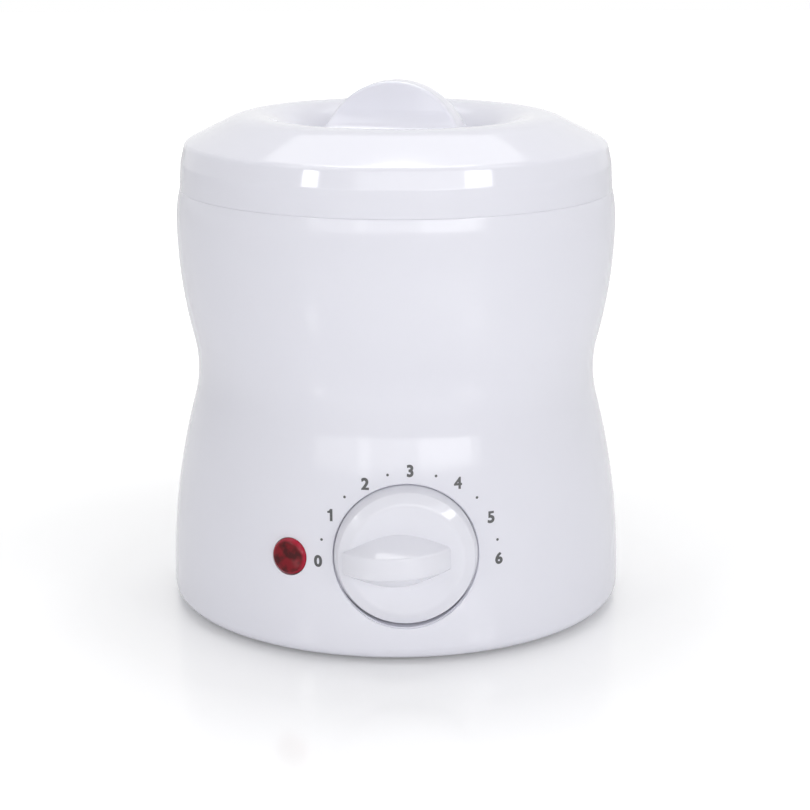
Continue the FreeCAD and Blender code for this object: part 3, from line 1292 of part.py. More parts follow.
def lid_outline(drawn):
    """Half the lid's section: skirt band, sloping shoulder, rounded crest and the dish's floor."""
    shoulder_at = (LID_SHOULDER, SEAM + D.lid_shoulder_height)
    crest_at = (LID_CREST, SEAM + D.lid_crest_height - D.lid_crest_round)
    dish_at = (LID_DISH, SEAM + D.lid_dish_height + D.lid_dish_round)
    inner_crest = D.lid_crest_round - D.lid_wall
    under_dish = D.lid_dish_round + D.lid_wall
    inner_skirt = LID_BAND - D.lid_wall
    shoulder = vec(*shoulder_at)
    crest = vec(*crest_at)
    dish = vec(*dish_at)
    rim = vec(LID_RIM, SEAM)
    band = vec(LID_BAND, SEAM + D.lid_band_height)
    skirt_way = tangent_normal(band, ZERO, shoulder, D.lid_shoulder_round)
    slope_way = tangent_normal(shoulder, D.lid_shoulder_round, crest, D.lid_crest_round)
    wall_way = tangent_normal(crest, D.lid_crest_round, dish, -D.lid_dish_round)
    skirt_end = shoulder + skirt_way * D.lid_shoulder_round.value
    slope_start = shoulder + slope_way * D.lid_shoulder_round.value
    slope_end = crest + slope_way * D.lid_crest_round.value
    wall_start = crest + wall_way * D.lid_crest_round.value
    wall_end = dish - wall_way * D.lid_dish_round.value
    floor_start = dish - ALONG * D.lid_dish_round.value
    under_start = crest + slope_way * inner_crest.value
    under_wall = crest + wall_way * inner_crest.value
    under_wall_end = dish - wall_way * under_dish.value
    ceiling_end = dish - ALONG * under_dish.value
    rise = (inner_skirt.value - under_start.x) * slope_way.x / slope_way.y
    inner_shoulder = vec(inner_skirt, under_start.y - rise)
    inner_rim = vec(inner_skirt, SEAM)
    outer_axis = vec(ZERO, floor_start.y)
    inner_axis = vec(ZERO, ceiling_end.y)
    shapes = [
        Part.LineSegment(inner_rim, rim),
        Part.LineSegment(rim, band),
        Part.LineSegment(band, skirt_end),
        arc_between(shoulder, skirt_end, slope_start),
        Part.LineSegment(slope_start, slope_end),
        arc_between(crest, slope_end, wall_start),
        Part.LineSegment(wall_start, wall_end),
        arc_between(dish, floor_start, wall_end),
        Part.LineSegment(floor_start, outer_axis),
        Part.LineSegment(outer_axis, inner_axis),
        Part.LineSegment(inner_axis, ceiling_end),
        arc_between(dish, ceiling_end, under_wall_end),
        Part.LineSegment(under_wall_end, under_wall),
        arc_between(crest, under_start, under_wall),
        Part.LineSegment(under_start, inner_shoulder),
        Part.LineSegment(inner_shoulder, inner_rim),
    ]
    (bottom, lower, upper, shoulder_arc, slope, crest_arc, wall, dish_arc, floor, axis, ceiling, under_arc,
     back, inner_arc, under, inside) = [drawn.addGeometry(item, False) for item in shapes]
    for pair in ((bottom, 2, lower, 1), (lower, 2, upper, 1), (floor, 2, axis, 1), (axis, 2, ceiling, 1),
                 (under, 2, inside, 1), (inside, 2, bottom, 1)):
        drawn.addConstraint(Sketcher.Constraint("Coincident", *pair))
    for pair in ((upper, 2, shoulder_arc, 1), (shoulder_arc, 2, slope, 1), (slope, 2, crest_arc, 1),
                 (crest_arc, 2, wall, 1), (wall, 2, dish_arc, 2), (dish_arc, 1, floor, 1),
                 (ceiling, 2, under_arc, 1), (under_arc, 2, back, 1), (back, 2, inner_arc, 2),
                 (inner_arc, 1, under, 1)):
        drawn.addConstraint(Sketcher.Constraint("Tangent", *pair))
    drawn.addConstraint(Sketcher.Constraint("Parallel", slope, under))
    drawn.addConstraint(Sketcher.Constraint("Vertical", inside))
    tie(drawn, bottom, 1, inner_skirt, SEAM)
    tie(drawn, lower, 1, LID_RIM, SEAM)
    tie(drawn, upper, 1, LID_BAND, SEAM + D.lid_band_height)
    tie(drawn, floor, 2, ZERO, SEAM + D.lid_dish_height)
    tie(drawn, ceiling, 1, ZERO, SEAM + D.lid_dish_height - D.lid_wall)
    for arc, place, size in ((shoulder_arc, shoulder_at, D.lid_shoulder_round),
                             (crest_arc, crest_at, D.lid_crest_round), (inner_arc, crest_at, inner_crest),
                             (dish_arc, dish_at, D.lid_dish_round), (under_arc, dish_at, under_dish)):
        tie(drawn, arc, 3, *place)
        hold_radius(drawn, arc, size)
    return drawn


def half_disc(drawn, radius, floor, sink):
    """A half disc that stands on the floor, carried down by sink to join what is under it."""
    low = floor - sink
    shapes = [
        Part.ArcOfCircle(Part.Circle(vec(ZERO, floor), UP, radius.value), 0, math.pi),
        Part.LineSegment(vec(-radius, floor), vec(-radius, low)),
        Part.LineSegment(vec(-radius, low), vec(radius, low)),
        Part.LineSegment(vec(radius, low), vec(radius, floor)),
    ]
    arc, left, foot_line, right = [drawn.addGeometry(item, False) for item in shapes]
    for pair in ((arc, 2, left, 1), (left, 2, foot_line, 1), (foot_line, 2, right, 1), (right, 2, arc, 1)):
        drawn.addConstraint(Sketcher.Constraint("Coincident", *pair))
    tie(drawn, arc, 3, ZERO, floor)
    tie(drawn, left, 1, -radius, floor)
    hold_place(drawn, "DistanceY", right, 2, floor)
    tie(drawn, left, 2, -radius, low)
    tie(drawn, right, 1, radius, low)
    return drawn


def standing_half_disc(name, radius, width, sink):
    """A half disc of this width on the dish's floor, turned as the grip fin."""
    piece = body(name)
    drawn = sketch(piece, "XZ_Plane", turn=-D.lid_fin_turn)
    pad(piece, half_disc(drawn, radius, SEAM + D.lid_dish_height, sink), width, both_ways=True)
    return piece


def lid():
    """The lid's shell, its locating ring and the grip fin, which is hollow from below."""
    shell = body("lid_shell")
    revolve(shell, lid_outline(sketch(shell, "XZ_Plane")), "shell")
    plug = MOUTH - D.lid_plug_gap
    ring_top = SEAM + D.lid_plug_height
    ring = tube_corners(plug - D.lid_plug_wall, plug, SEAM - D.lid_plug_depth, ring_top)
    revolve(shell, polygon(sketch(shell, "XZ_Plane"), ring), "plug")
    fin = standing_half_disc("lid_fin", LID_FIN, D.lid_fin_width, D.lid_wall / 2)
    doc.recompute()
    apex = SEAM.value + D.lid_dish_height.value + LID_FIN.value
    arcs = edges_where(fin.Shape, lambda edge: edge.Length > LID_FIN.value * 3
                       and edge.BoundBox.ZMax > apex - NEAR)
    dress(fin, "Chamfer", arcs, D.lid_fin_bevel, "bevel")
    core = standing_half_disc("lid_fin_core", LID_FIN - D.lid_wall, D.lid_fin_width - D.lid_wall * 2,
                              D.lid_wall)
    return cut("lid_solid", fuse("lid_with_fin", [shell, fin]), core)


node("lid", lid())

# ---------------------------------------------------------------- check and write
doc.recompute()
for item in doc.Objects:
    if "Invalid" in item.State or "Error" in item.State:
        raise RuntimeError(f"{item.Name} is {item.State}")
for name, item in NODES.items():
    if item.Shape.isNull() or not item.Shape.isValid() or not item.Shape.Solids:
        raise RuntimeError(f"{name} has no valid shape")
os.makedirs("parts", exist_ok=True)
for name, item in NODES.items():
    item.Shape.exportStep(f"parts/{name}.step")
    print(f"{name}: {len(item.Shape.Solids)} solids, {item.Shape.Volume / 1000:.2f} cm3")
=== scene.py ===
# %% [markdown]
# # A table-top wax heater
# The heater is a waisted white shell with a lift-off lid. A dial at the front sets the heat, a red lens
# beside it glows, and an aluminium pot of wax stands in a heated well under the lid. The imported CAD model
# is the frame: its pieces have the right size and place, so each new piece is drawn in that same frame.
# Sizes here are in millimetres, and MM turns them into Blender's metres.

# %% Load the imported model
import json
import math

import bmesh
import bpy
from mathutils import Matrix, Vector


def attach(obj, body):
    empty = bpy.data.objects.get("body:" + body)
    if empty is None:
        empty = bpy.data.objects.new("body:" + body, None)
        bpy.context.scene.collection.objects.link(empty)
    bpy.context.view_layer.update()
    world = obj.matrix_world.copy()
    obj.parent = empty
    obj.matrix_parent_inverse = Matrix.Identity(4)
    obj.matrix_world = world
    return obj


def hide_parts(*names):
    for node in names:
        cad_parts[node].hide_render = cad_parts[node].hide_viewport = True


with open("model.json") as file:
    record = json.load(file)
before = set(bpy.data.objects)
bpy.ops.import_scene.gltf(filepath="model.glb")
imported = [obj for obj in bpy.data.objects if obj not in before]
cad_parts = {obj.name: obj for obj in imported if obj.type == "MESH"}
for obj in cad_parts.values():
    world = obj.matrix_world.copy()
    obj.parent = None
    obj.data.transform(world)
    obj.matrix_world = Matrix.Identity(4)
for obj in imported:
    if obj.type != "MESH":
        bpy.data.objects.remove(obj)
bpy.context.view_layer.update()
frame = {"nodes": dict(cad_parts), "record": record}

MM = 0.001
scene = bpy.context.scene
nodes = frame["nodes"]

# %% [markdown]
# ## Camera
# A long lens from a little above keeps the sides nearly straight, as in a catalogue picture. The camera
# stands slightly to the left of the dial, so its place is a turn about the heater's own axis.

# %% Camera
CAMERA_DISTANCE = 643.2
CAMERA_HEIGHT = 228.3
CAMERA_TURN = math.radians(2.5)
CAMERA_PITCH = math.radians(14.5)
CAMERA_LENS = 90.5
CAMERA_SHIFT = 0.0111

camera_data = bpy.data.cameras.new("camera")
camera_data.lens = CAMERA_LENS
camera_data.shift_x = CAMERA_SHIFT
camera = bpy.data.objects.new("camera", camera_data)
scene.collection.objects.link(camera)
camera.location = (-CAMERA_DISTANCE * MM * math.sin(CAMERA_TURN),
                   -CAMERA_DISTANCE * MM * math.cos(CAMERA_TURN), CAMERA_HEIGHT * MM)
camera.rotation_euler = (math.pi / 2 - CAMERA_PITCH, 0, -CAMERA_TURN)
scene.camera = camera
print("camera at", [round(value, 4) for value in camera.location])

# %% [markdown]
# ## Light
# Glossy white plastic shows its room. The world is white where the camera or a mirror sees it, and calmer
# where it lights the piece, so that pale plastic doesn't burn out. What lights the piece also fades towards
# the zenith, because the lamps overhead do that part of the work.

# %% World
WORLD_LIGHT = 0.785
ZENITH_LIGHT = 0.05
SKY_TINT = (0.98, 0.985, 1.0, 1)
ZENITH_FROM = 0.75

world = bpy.data.worlds.new("studio")
world.use_nodes = True
scene.world = world
tree = world.node_tree
tree.nodes.clear()
# A ray from the camera, off a mirror or through glass sees plain white.
path = tree.nodes.new("ShaderNodeLightPath")
seen = tree.nodes.new("ShaderNodeMath")
seen.operation = "MAXIMUM"
tree.links.new(path.outputs["Is Camera Ray"], seen.inputs[0])
tree.links.new(path.outputs["Is Glossy Ray"], seen.inputs[1])
seen_through = tree.nodes.new("ShaderNodeMath")
seen_through.operation = "MAXIMUM"
tree.links.new(seen.outputs[0], seen_through.inputs[0])
tree.links.new(path.outputs["Is Transmission Ray"], seen_through.inputs[1])
# Every other ray finds a sky that dims from the horizon to the zenith.
lighting = tree.nodes.new("ShaderNodeBackground")
lighting.inputs["Color"].default_value = SKY_TINT
heading = tree.nodes.new("ShaderNodeTexCoord")
rise_of = tree.nodes.new("ShaderNodeSeparateXYZ")
tree.links.new(heading.outputs["Generated"], rise_of.inputs[0])
calm = tree.nodes.new("ShaderNodeMapRange")
for socket, number in zip(calm.inputs[1:5], (0.0, ZENITH_FROM, WORLD_LIGHT, ZENITH_LIGHT)):
    socket.default_value = number
tree.links.new(rise_of.outputs["Z"], calm.inputs[0])
tree.links.new(calm.outputs[0], lighting.inputs["Strength"])
backdrop = tree.nodes.new("ShaderNodeBackground")
backdrop.inputs["Color"].default_value = (1, 1, 1, 1)
backdrop.inputs["Strength"].default_value = 1.0
choose = tree.nodes.new("ShaderNodeMixShader")
tree.links.new(seen_through.outputs[0], choose.inputs[0])
tree.links.new(lighting.outputs[0], choose.inputs[1])
tree.links.new(backdrop.outputs[0], choose.inputs[2])
sky = tree.nodes.new("ShaderNodeOutputWorld")
tree.links.new(choose.outputs[0], sky.inputs["Surface"])
print("world", world.name)

# %% [markdown]
# ### Lamps
# Each lamp is a rectangle that faces the heater from a place given by its turn and its rise, as a softbox
# is walked round a table. The wide ones set a plain level over the front, the sides and the lid. The two
# small windows are there to be mirrored: they draw the crisp highlights on the band of the lid.

# %% Lamps
LAMP_DISTANCE = 1.5
LAMPS = (
    # name, turn from the front and rise of its middle in degrees, width and height in metres, watts
    ("soft_left", -32.0, 12.5, 0.80, 0.22, 0.72),
    ("soft_right", 26.5, 12.5, 0.90, 0.22, 0.98),
    ("window_left", -47.5, 19.5, 0.20, 0.17, 1.30),
    ("window_right", 41.0, 19.5, 0.36, 0.17, 1.60),
    ("front_high", 8.0, 21.0, 1.70, 0.60, 5.30),
    ("left_high", -62.0, 50.0, 0.70, 0.70, 2.00),
    ("right_high", 62.0, 50.0, 0.70, 0.70, 2.60),
    ("roof", 178.0, 63.0, 1.10, 0.62, 2.40),
    ("ceiling", 180.0, 80.0, 1.00, 0.70, 9.20),
)
LOOK_AT = Vector((0, 0, 0.06))

for name, turn, rise, width, height, watts in LAMPS:
    turn, rise = math.radians(turn), math.radians(rise)
    lamp = bpy.data.lights.new(name, "AREA")
    lamp.shape = "RECTANGLE"
    lamp.size, lamp.size_y = width, height
    lamp.energy = watts
    panel = bpy.data.objects.new(name, lamp)
    panel.location = LOOK_AT + LAMP_DISTANCE * Vector((
        math.sin(turn) * math.cos(rise), -math.cos(turn) * math.cos(rise), math.sin(rise)))
    panel.rotation_euler = (LOOK_AT - panel.location).to_track_quat("-Z", "Y").to_euler()
    scene.collection.objects.link(panel)
scene.view_settings.view_transform = "Standard"
print(len(LAMPS), "lamps")

# %% [markdown]
# ## Finishes
# Every finish is a Principled BSDF with small things laid over it: moulded plastic has a faint waviness,
# and spun metal has rings. What more than one finish uses is a node group, which puts out only a colour,
# a roughness and a height. The helpers below add the nodes that both groups are made of.

# %% Node helpers
def group_of(name, inputs, outputs):
    """An empty shader group with these sockets, and its two end nodes."""
    made = bpy.data.node_groups.new(name, "ShaderNodeTree")
    for label, kind, value in inputs:
        socket = made.interface.new_socket(label, in_out="INPUT", socket_type=kind)
        socket.default_value = value
    for label, kind in outputs:
        made.interface.new_socket(label, in_out="OUTPUT", socket_type=kind)
    return made, made.nodes.new("NodeGroupInput"), made.nodes.new("NodeGroupOutput")


def noise_on(made, vector, scale, detail=3.0, roughness=0.55):
    """A noise texture that reads this vector socket, its scale a number or a socket."""
    texture = made.nodes.new("ShaderNodeTexNoise")
    texture.inputs["Detail"].default_value = detail
    texture.inputs["Roughness"].default_value = roughness
    made.links.new(vector, texture.inputs["Vector"])
    if isinstance(scale, (int, float)):
        texture.inputs["Scale"].default_value = scale
    else:
        made.links.new(scale, texture.inputs["Scale"])
    return texture


def ranged(made, value, low, high, to_low, to_high):
    """Map a value from low..high to to_low..to_high, held at the ends."""
    mapped = made.nodes.new("ShaderNodeMapRange")
    for socket, number in zip(mapped.inputs[1:5], (low, high, to_low, to_high)):
        socket.default_value = number
    made.links.new(value, mapped.inputs[0])
    return mapped.outputs[0]


def blended(made, factor, first, second):
    """A colour between two colours, by a factor socket."""
    mix = made.nodes.new("ShaderNodeMix")
    mix.data_type = "RGBA"
    made.links.new(factor, mix.inputs["Factor"])
    for socket, colour in ((mix.inputs["A"], first), (mix.inputs["B"], second)):
        if isinstance(colour, tuple):
            socket.default_value = colour
        else:
            made.links.new(colour, socket)
    return mix.outputs["Result"]


print("node helpers ready")

# %% [markdown]
# ### Moulded surface
# A moulded part is never one flat colour: the melt cools unevenly, so the tint drifts a little over
# centimetres, and the polish of the tool leaves a waviness of a few microns that bends reflections.

# %% Moulded surface group
moulded, moulded_in, moulded_out = group_of(
    "moulded_surface",
    [("Tint", "NodeSocketColor", (0.8, 0.8, 0.8, 1)), ("Deep", "NodeSocketColor", (0.75, 0.75, 0.75, 1)),
     ("Drift", "NodeSocketFloat", 18.0), ("Grain", "NodeSocketFloat", 900.0),
     ("Gloss Low", "NodeSocketFloat", 0.1), ("Gloss High", "NodeSocketFloat", 0.2)],
    [("Color", "NodeSocketColor"), ("Roughness", "NodeSocketFloat"), ("Height", "NodeSocketFloat")])
place = moulded.nodes.new("ShaderNodeTexCoord").outputs["Object"]
drift = noise_on(moulded, place, moulded_in.outputs["Drift"], detail=2.0)
grain = noise_on(moulded, place, moulded_in.outputs["Grain"], detail=2.0)
cloudy = ranged(moulded, drift.outputs["Fac"], 0.35, 0.65, 0.0, 1.0)
moulded.links.new(blended(moulded, cloudy, moulded_in.outputs["Tint"], moulded_in.outputs["Deep"]),
                  moulded_out.inputs["Color"])
gloss = moulded.nodes.new("ShaderNodeMapRange")
moulded.links.new(grain.outputs["Fac"], gloss.inputs[0])
moulded.links.new(moulded_in.outputs["Gloss Low"], gloss.inputs[3])
moulded.links.new(moulded_in.outputs["Gloss High"], gloss.inputs[4])
moulded.links.new(gloss.outputs[0], moulded_out.inputs["Roughness"])
moulded.links.new(grain.outputs["Fac"], moulded_out.inputs["Height"])
print("group", moulded.name)

# %% [markdown]
# ### Spun metal
# A pot pressed and spun on a lathe carries fine rings about its axis. The distance from the axis and the
# height feed a noise that changes quickly across the rings and slowly along them.

# %% Spun metal group
spun_metal, spun_in, spun_out = group_of(
    "spun_metal",
    [("Tint", "NodeSocketColor", (0.8, 0.8, 0.8, 1)), ("Deep", "NodeSocketColor", (0.6, 0.6, 0.6, 1)),
     ("Rings", "NodeSocketFloat", 900.0), ("Gloss Low", "NodeSocketFloat", 0.2),
     ("Gloss High", "NodeSocketFloat", 0.4)],
    [("Color", "NodeSocketColor"), ("Roughness", "NodeSocketFloat"), ("Height", "NodeSocketFloat")])
place = spun_metal.nodes.new("ShaderNodeTexCoord").outputs["Object"]
parts = spun_metal.nodes.new("ShaderNodeSeparateXYZ")
spun_metal.links.new(place, parts.inputs[0])
flat = spun_metal.nodes.new("ShaderNodeCombineXYZ")
spun_metal.links.new(parts.outputs["X"], flat.inputs["X"])
spun_metal.links.new(parts.outputs["Y"], flat.inputs["Y"])
reach = spun_metal.nodes.new("ShaderNodeVectorMath")
reach.operation = "LENGTH"
spun_metal.links.new(flat.outputs[0], reach.inputs[0])
lathe = spun_metal.nodes.new("ShaderNodeCombineXYZ")
spun_metal.links.new(reach.outputs["Value"], lathe.inputs["X"])
spun_metal.links.new(parts.outputs["Z"], lathe.inputs["Y"])
rings = noise_on(spun_metal, lathe.outputs[0], spun_in.outputs["Rings"], detail=4.0, roughness=0.7)
stains = noise_on(spun_metal, place, 45.0, detail=4.0)
cloudy = ranged(spun_metal, stains.outputs["Fac"], 0.35, 0.7, 0.0, 1.0)
spun_metal.links.new(blended(spun_metal, cloudy, spun_in.outputs["Tint"], spun_in.outputs["Deep"]),
                     spun_out.inputs["Color"])
gloss = spun_metal.nodes.new("ShaderNodeMapRange")
spun_metal.links.new(rings.outputs["Fac"], gloss.inputs[0])
spun_metal.links.new(spun_in.outputs["Gloss Low"], gloss.inputs[3])
spun_metal.links.new(spun_in.outputs["Gloss High"], gloss.inputs[4])
spun_metal.links.new(gloss.outputs[0], spun_out.inputs["Roughness"])
spun_metal.links.new(rings.outputs["Fac"], spun_out.inputs["Height"])
print("group", spun_metal.name)

# %% [markdown]
# ### From a group to a material
# The shader stays in the material, and so do the numbers that hold all over it, such as how metallic it
# is. The group's outputs drive the colour, the roughness and a Bump node, so two plastics differ only in
# the values they give to the same group.

# %% Make a material from a group
def shaded(name, metallic=0.0, specular=0.5):
    """A new material, its tree and its Principled BSDF, with the constants set on the shader itself."""
    made = bpy.data.materials.new(name)
    made.use_nodes = True
    shader = made.node_tree.nodes["Principled BSDF"]
    shader.inputs["Metallic"].default_value = metallic
    shader.inputs["Specular IOR Level"].default_value = specular
    return made, made.node_tree, shader


def finish_from(name, group, values, bump, bump_distance=0.02, metallic=0.0):
    """A material whose colour, roughness and bump come from a group with its own values."""
    made, tree, shader = shaded(name, metallic)
    source = tree.nodes.new("ShaderNodeGroup")
    source.node_tree = group
    for label, value in values.items():
        source.inputs[label].default_value = value
    tree.links.new(source.outputs["Color"], shader.inputs["Base Color"])
    tree.links.new(source.outputs["Roughness"], shader.inputs["Roughness"])
    bumped = tree.nodes.new("ShaderNodeBump")
    bumped.inputs["Strength"].default_value = bump
    bumped.inputs["Distance"].default_value = bump_distance * MM
    tree.links.new(source.outputs["Height"], bumped.inputs["Height"])
    tree.links.new(bumped.outputs["Normal"], shader.inputs["Normal"])
    return made


def plastic(name, tint, deep, gloss, bump=0.25, drift=18.0, grain=900.0, bump_distance=0.02):
    return finish_from(name, moulded, {
        "Tint": (*tint, 1), "Deep": (*deep, 1), "Drift": drift, "Grain": grain,
        "Gloss Low": gloss[0], "Gloss High": gloss[1]}, bump, bump_distance)


def metal(name, tint, deep, gloss, bump=0.3):
    return finish_from(name, spun_metal, {
        "Tint": (*tint, 1), "Deep": (*deep, 1), "Gloss Low": gloss[0], "Gloss High": gloss[1]},
        bump, metallic=1.0)


print("plastic and metal ready")

# %% [markdown]
# ### The heater's finishes
# Each line gives a finish its tint, the deeper tint it drifts to, and the two ends of its roughness. The
# shell and the knob come from two moulds in one white plastic, and the knob is polished a little more.
# The wool and the green and yellow lead are mottled, so their tint drifts over millimetres.

# %% Plastics and metals
shell_white = plastic("shell_white", (0.775, 0.775, 0.840), (0.765, 0.765, 0.832), (0.07, 0.10), bump=0.07)
knob_white = plastic("knob_white", (0.775, 0.775, 0.835), (0.765, 0.765, 0.828), (0.06, 0.09), bump=0.05)
base_grey = plastic("base_grey", (0.30, 0.30, 0.31), (0.26, 0.26, 0.27), (0.45, 0.60), bump=0.5, grain=1500.0)
foot_rubber = plastic("foot_rubber", (0.035, 0.035, 0.037), (0.055, 0.055, 0.056), (0.65, 0.85), bump=0.6)
block_white = plastic("block_white", (0.72, 0.70, 0.64), (0.66, 0.64, 0.58), (0.40, 0.55))
gland_black = plastic("gland_black", (0.028, 0.028, 0.030), (0.040, 0.040, 0.042), (0.30, 0.42), bump=0.4)
thermostat_case = plastic("thermostat_case", (0.10, 0.055, 0.03), (0.075, 0.04, 0.022), (0.30, 0.42))
fuse_case = plastic("fuse_case", (0.62, 0.60, 0.55), (0.55, 0.52, 0.47), (0.35, 0.5))
lead_brown = plastic("lead_brown", (0.16, 0.06, 0.02), (0.13, 0.05, 0.02), (0.35, 0.5))
lead_blue = plastic("lead_blue", (0.02, 0.09, 0.38), (0.018, 0.075, 0.32), (0.35, 0.5))
lead_green = plastic("lead_green", (0.10, 0.36, 0.05), (0.45, 0.42, 0.04), (0.35, 0.5), drift=120.0)
insulation_wool = plastic("insulation_wool", (0.70, 0.68, 0.60), (0.52, 0.49, 0.41), (0.85, 1.0), bump=1.0,
                          drift=160.0, grain=650.0, bump_distance=0.5)
screw_steel = metal("screw_steel", (0.62, 0.62, 0.63), (0.55, 0.55, 0.56), (0.22, 0.35))
bail_steel = metal("bail_steel", (0.72, 0.72, 0.73), (0.66, 0.66, 0.68), (0.10, 0.20), bump=0.1)
band_steel = metal("band_steel", (0.50, 0.49, 0.47), (0.36, 0.34, 0.31), (0.30, 0.48))
well_aluminium = metal("well_aluminium", (0.77, 0.78, 0.79), (0.68, 0.69, 0.70), (0.28, 0.42), bump=0.35)
pot_aluminium = metal("pot_aluminium", (0.84, 0.85, 0.86), (0.77, 0.78, 0.79), (0.20, 0.34), bump=0.4)
brass_parts = metal("brass_parts", (0.75, 0.55, 0.24), (0.62, 0.43, 0.17), (0.25, 0.40))
copper_tube = metal("copper_tube", (0.78, 0.42, 0.28), (0.60, 0.30, 0.19), (0.22, 0.38))
dial_ink = plastic("dial_ink", (0.085, 0.085, 0.09), (0.10, 0.10, 0.105), (0.35, 0.45))
print(len(bpy.data.materials), "materials")

# %% [markdown]
# ### The red lens
# The lens is tinted right through. Light enters, picks up red and is thrown back by ridges moulded behind
# the dome. The ridges are not modelled: the dome's deep clear red carries painted light and painted shade
# in wedge-shaped patches, and a painted glow makes its rim brighter. Two Mapping nodes bring the pattern
# to the lens's own middle and turn it square to the lens.

# %% Red lens material
LAMP_HEIGHT = 31.7
LAMP_TURN = math.radians(29)
# The painted shade and the painted light of the wedge-shaped patches, then the painted glow of the rim and
# the distances off the axis over which that glow comes in.
LENS_RED_SHADED = (0.060, 0.0012, 0.003, 1)
LENS_RED_LIT = (0.200, 0.003, 0.010, 1)
LENS_RIM_PAINTED_GLOW = (0.46, 0.012, 0.040, 1)
PAINTED_GLOW_FROM, PAINTED_GLOW_TO = 0.0046, 0.0056

lens_red, tree, shader = shaded("lens_red", specular=0.25)
centred = tree.nodes.new("ShaderNodeMapping")
centred.inputs["Location"].default_value = (0, 0, -LAMP_HEIGHT * MM)
turned_place = tree.nodes.new("ShaderNodeMapping")
turned_place.inputs["Rotation"].default_value = (0, 0, LAMP_TURN)
tree.links.new(tree.nodes.new("ShaderNodeTexCoord").outputs["Object"], centred.inputs["Vector"])
tree.links.new(centred.outputs[0], turned_place.inputs["Vector"])
face_on = tree.nodes.new("ShaderNodeSeparateXYZ")
tree.links.new(turned_place.outputs[0], face_on.inputs[0])
face = tree.nodes.new("ShaderNodeCombineXYZ")
tree.links.new(face_on.outputs["X"], face.inputs["X"])
tree.links.new(face_on.outputs["Z"], face.inputs["Y"])
off_axis = tree.nodes.new("ShaderNodeVectorMath")
off_axis.operation = "LENGTH"
tree.links.new(face.outputs[0], off_axis.inputs[0])
# A noise paints patches of light and shade for the unmodelled ridges, and a painted glow brightens the rim.
ridge_light_noise = noise_on(tree, face.outputs[0], 230.0, detail=2.0)
painted_ridge_light = blended(tree, ranged(tree, ridge_light_noise.outputs["Fac"], 0.42, 0.58, 0.0, 1.0),
                 LENS_RED_SHADED, LENS_RED_LIT)
painted_rim_glow = ranged(tree, off_axis.outputs["Value"], PAINTED_GLOW_FROM, PAINTED_GLOW_TO, 0.0, 1.0)
tree.links.new(blended(tree, painted_rim_glow, painted_ridge_light, LENS_RIM_PAINTED_GLOW), shader.inputs["Base Color"])
tree.links.new(ranged(tree, ridge_light_noise.outputs["Fac"], 0.3, 0.7, 0.10, 0.18), shader.inputs["Roughness"])
print("material", lens_red.name)

# %% [markdown]
# ## Drawing tools
# Most of the heater is turned: a section drawn once and carried round an axis. A section starts as one
# vertex. Lines are pulled from its tip, and arcs are swept by turning the tip about their centre, as a pen
# walks round a drawing. The last step spins the whole section about the Z axis.

# %% Section tool
SMOOTH_STEPS = 256
FINE_STEPS = 192
SHARP_EDGE = math.radians(28)
AROUND_PAGE = Vector((0, -1, 0))


def finished(mesh):
    """Outward normals, smooth faces, and sharp edges where the surface really turns."""
    bmesh.ops.recalc_face_normals(mesh, faces=mesh.faces)
    for face in mesh.faces:
        face.smooth = True
    for edge in mesh.edges:
        edge.smooth = len(edge.link_faces) == 2 and edge.calc_face_angle(0.0) < SHARP_EDGE
    return mesh


def points_among(items):
    return [item for item in items if isinstance(item, bmesh.types.BMVert)]


def all_of(mesh):
    return mesh.verts[:] + mesh.edges[:] + mesh.faces[:]


class Section:
    """A profile in the plane of radius and height, drawn from its tip and then spun about Z.

    Each step hands the section back, so that a profile reads as one chain of lines, arcs and corners.
    """

    def __init__(self, radius, height):
        self.mesh = bmesh.new()
        self.first = bmesh.ops.create_vert(self.mesh, co=(radius * MM, 0, height * MM))["vert"][0]
        self.tip = self.first

    def line(self, radius, height):
        pulled = bmesh.ops.extrude_vert_indiv(self.mesh, verts=[self.tip])
        self.tip = pulled["verts"][0]
        self.tip.co = (radius * MM, 0, height * MM)
        return self

    def arc(self, centre_radius, centre_height, degrees, steps):
        """Sweep the tip about a centre; a positive angle runs anticlockwise in (radius, height)."""
        swept = bmesh.ops.spin(self.mesh, geom=[self.tip], cent=(centre_radius * MM, 0, centre_height * MM),
                               axis=AROUND_PAGE, angle=math.radians(degrees), steps=steps)
        self.tip = points_among(swept["geom_last"])[0]
        return self

    def corner(self, at, towards, radius, steps=6):
        """A rounded corner: run to the start of the round, sweep it, and stop at its far end."""
        start = Vector((self.tip.co.x / MM, self.tip.co.z / MM))
        at = Vector(at)
        came = (start - at).normalized()
        goes = (Vector(towards) - at).normalized()
        half = came.angle(goes) / 2
        back = radius / math.tan(half)
        centre = at + (came + goes).normalized() * (radius / math.sin(half))
        turn = 180 - math.degrees(2 * half)
        side = came.x * goes.y - came.y * goes.x
        if back < (start - at).length - 1e-6:
            self.line(*(at + came * back))
        return self.arc(centre.x, centre.y, -turn if side > 0 else turn, steps)

    def close(self):
        bmesh.ops.contextual_create(self.mesh, geom=[self.tip, self.first])
        return self

    def turned(self, steps=SMOOTH_STEPS):
        bmesh.ops.spin(self.mesh, geom=self.mesh.verts[:] + self.mesh.edges[:], axis=(0, 0, 1),
                       cent=(0, 0, 0), angle=math.tau, steps=steps, use_merge=True)
        bmesh.ops.remove_doubles(self.mesh, verts=self.mesh.verts, dist=1e-6)
        return finished(self.mesh)


print("section tool ready")

# %% [markdown]
# ### From a mesh to a piece
# A finished mesh becomes an object that rides one body of the heater, and the imported nodes it stands in
# for are hidden. Modifiers are run at once and thrown away, so that what is kept is a plain mesh.

# %% Piece tools
def as_object(name, mesh, body, material, replaced=()):
    """Put a finished mesh in the scene as a named piece that rides a body."""
    data = bpy.data.meshes.new(name)
    mesh.to_mesh(data)
    mesh.free()
    data.materials.append(material)
    piece = bpy.data.objects.new(name, data)
    scene.collection.objects.link(piece)
    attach(piece, body)
    if replaced:
        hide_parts(*replaced)
    print(name, len(data.polygons), "faces")


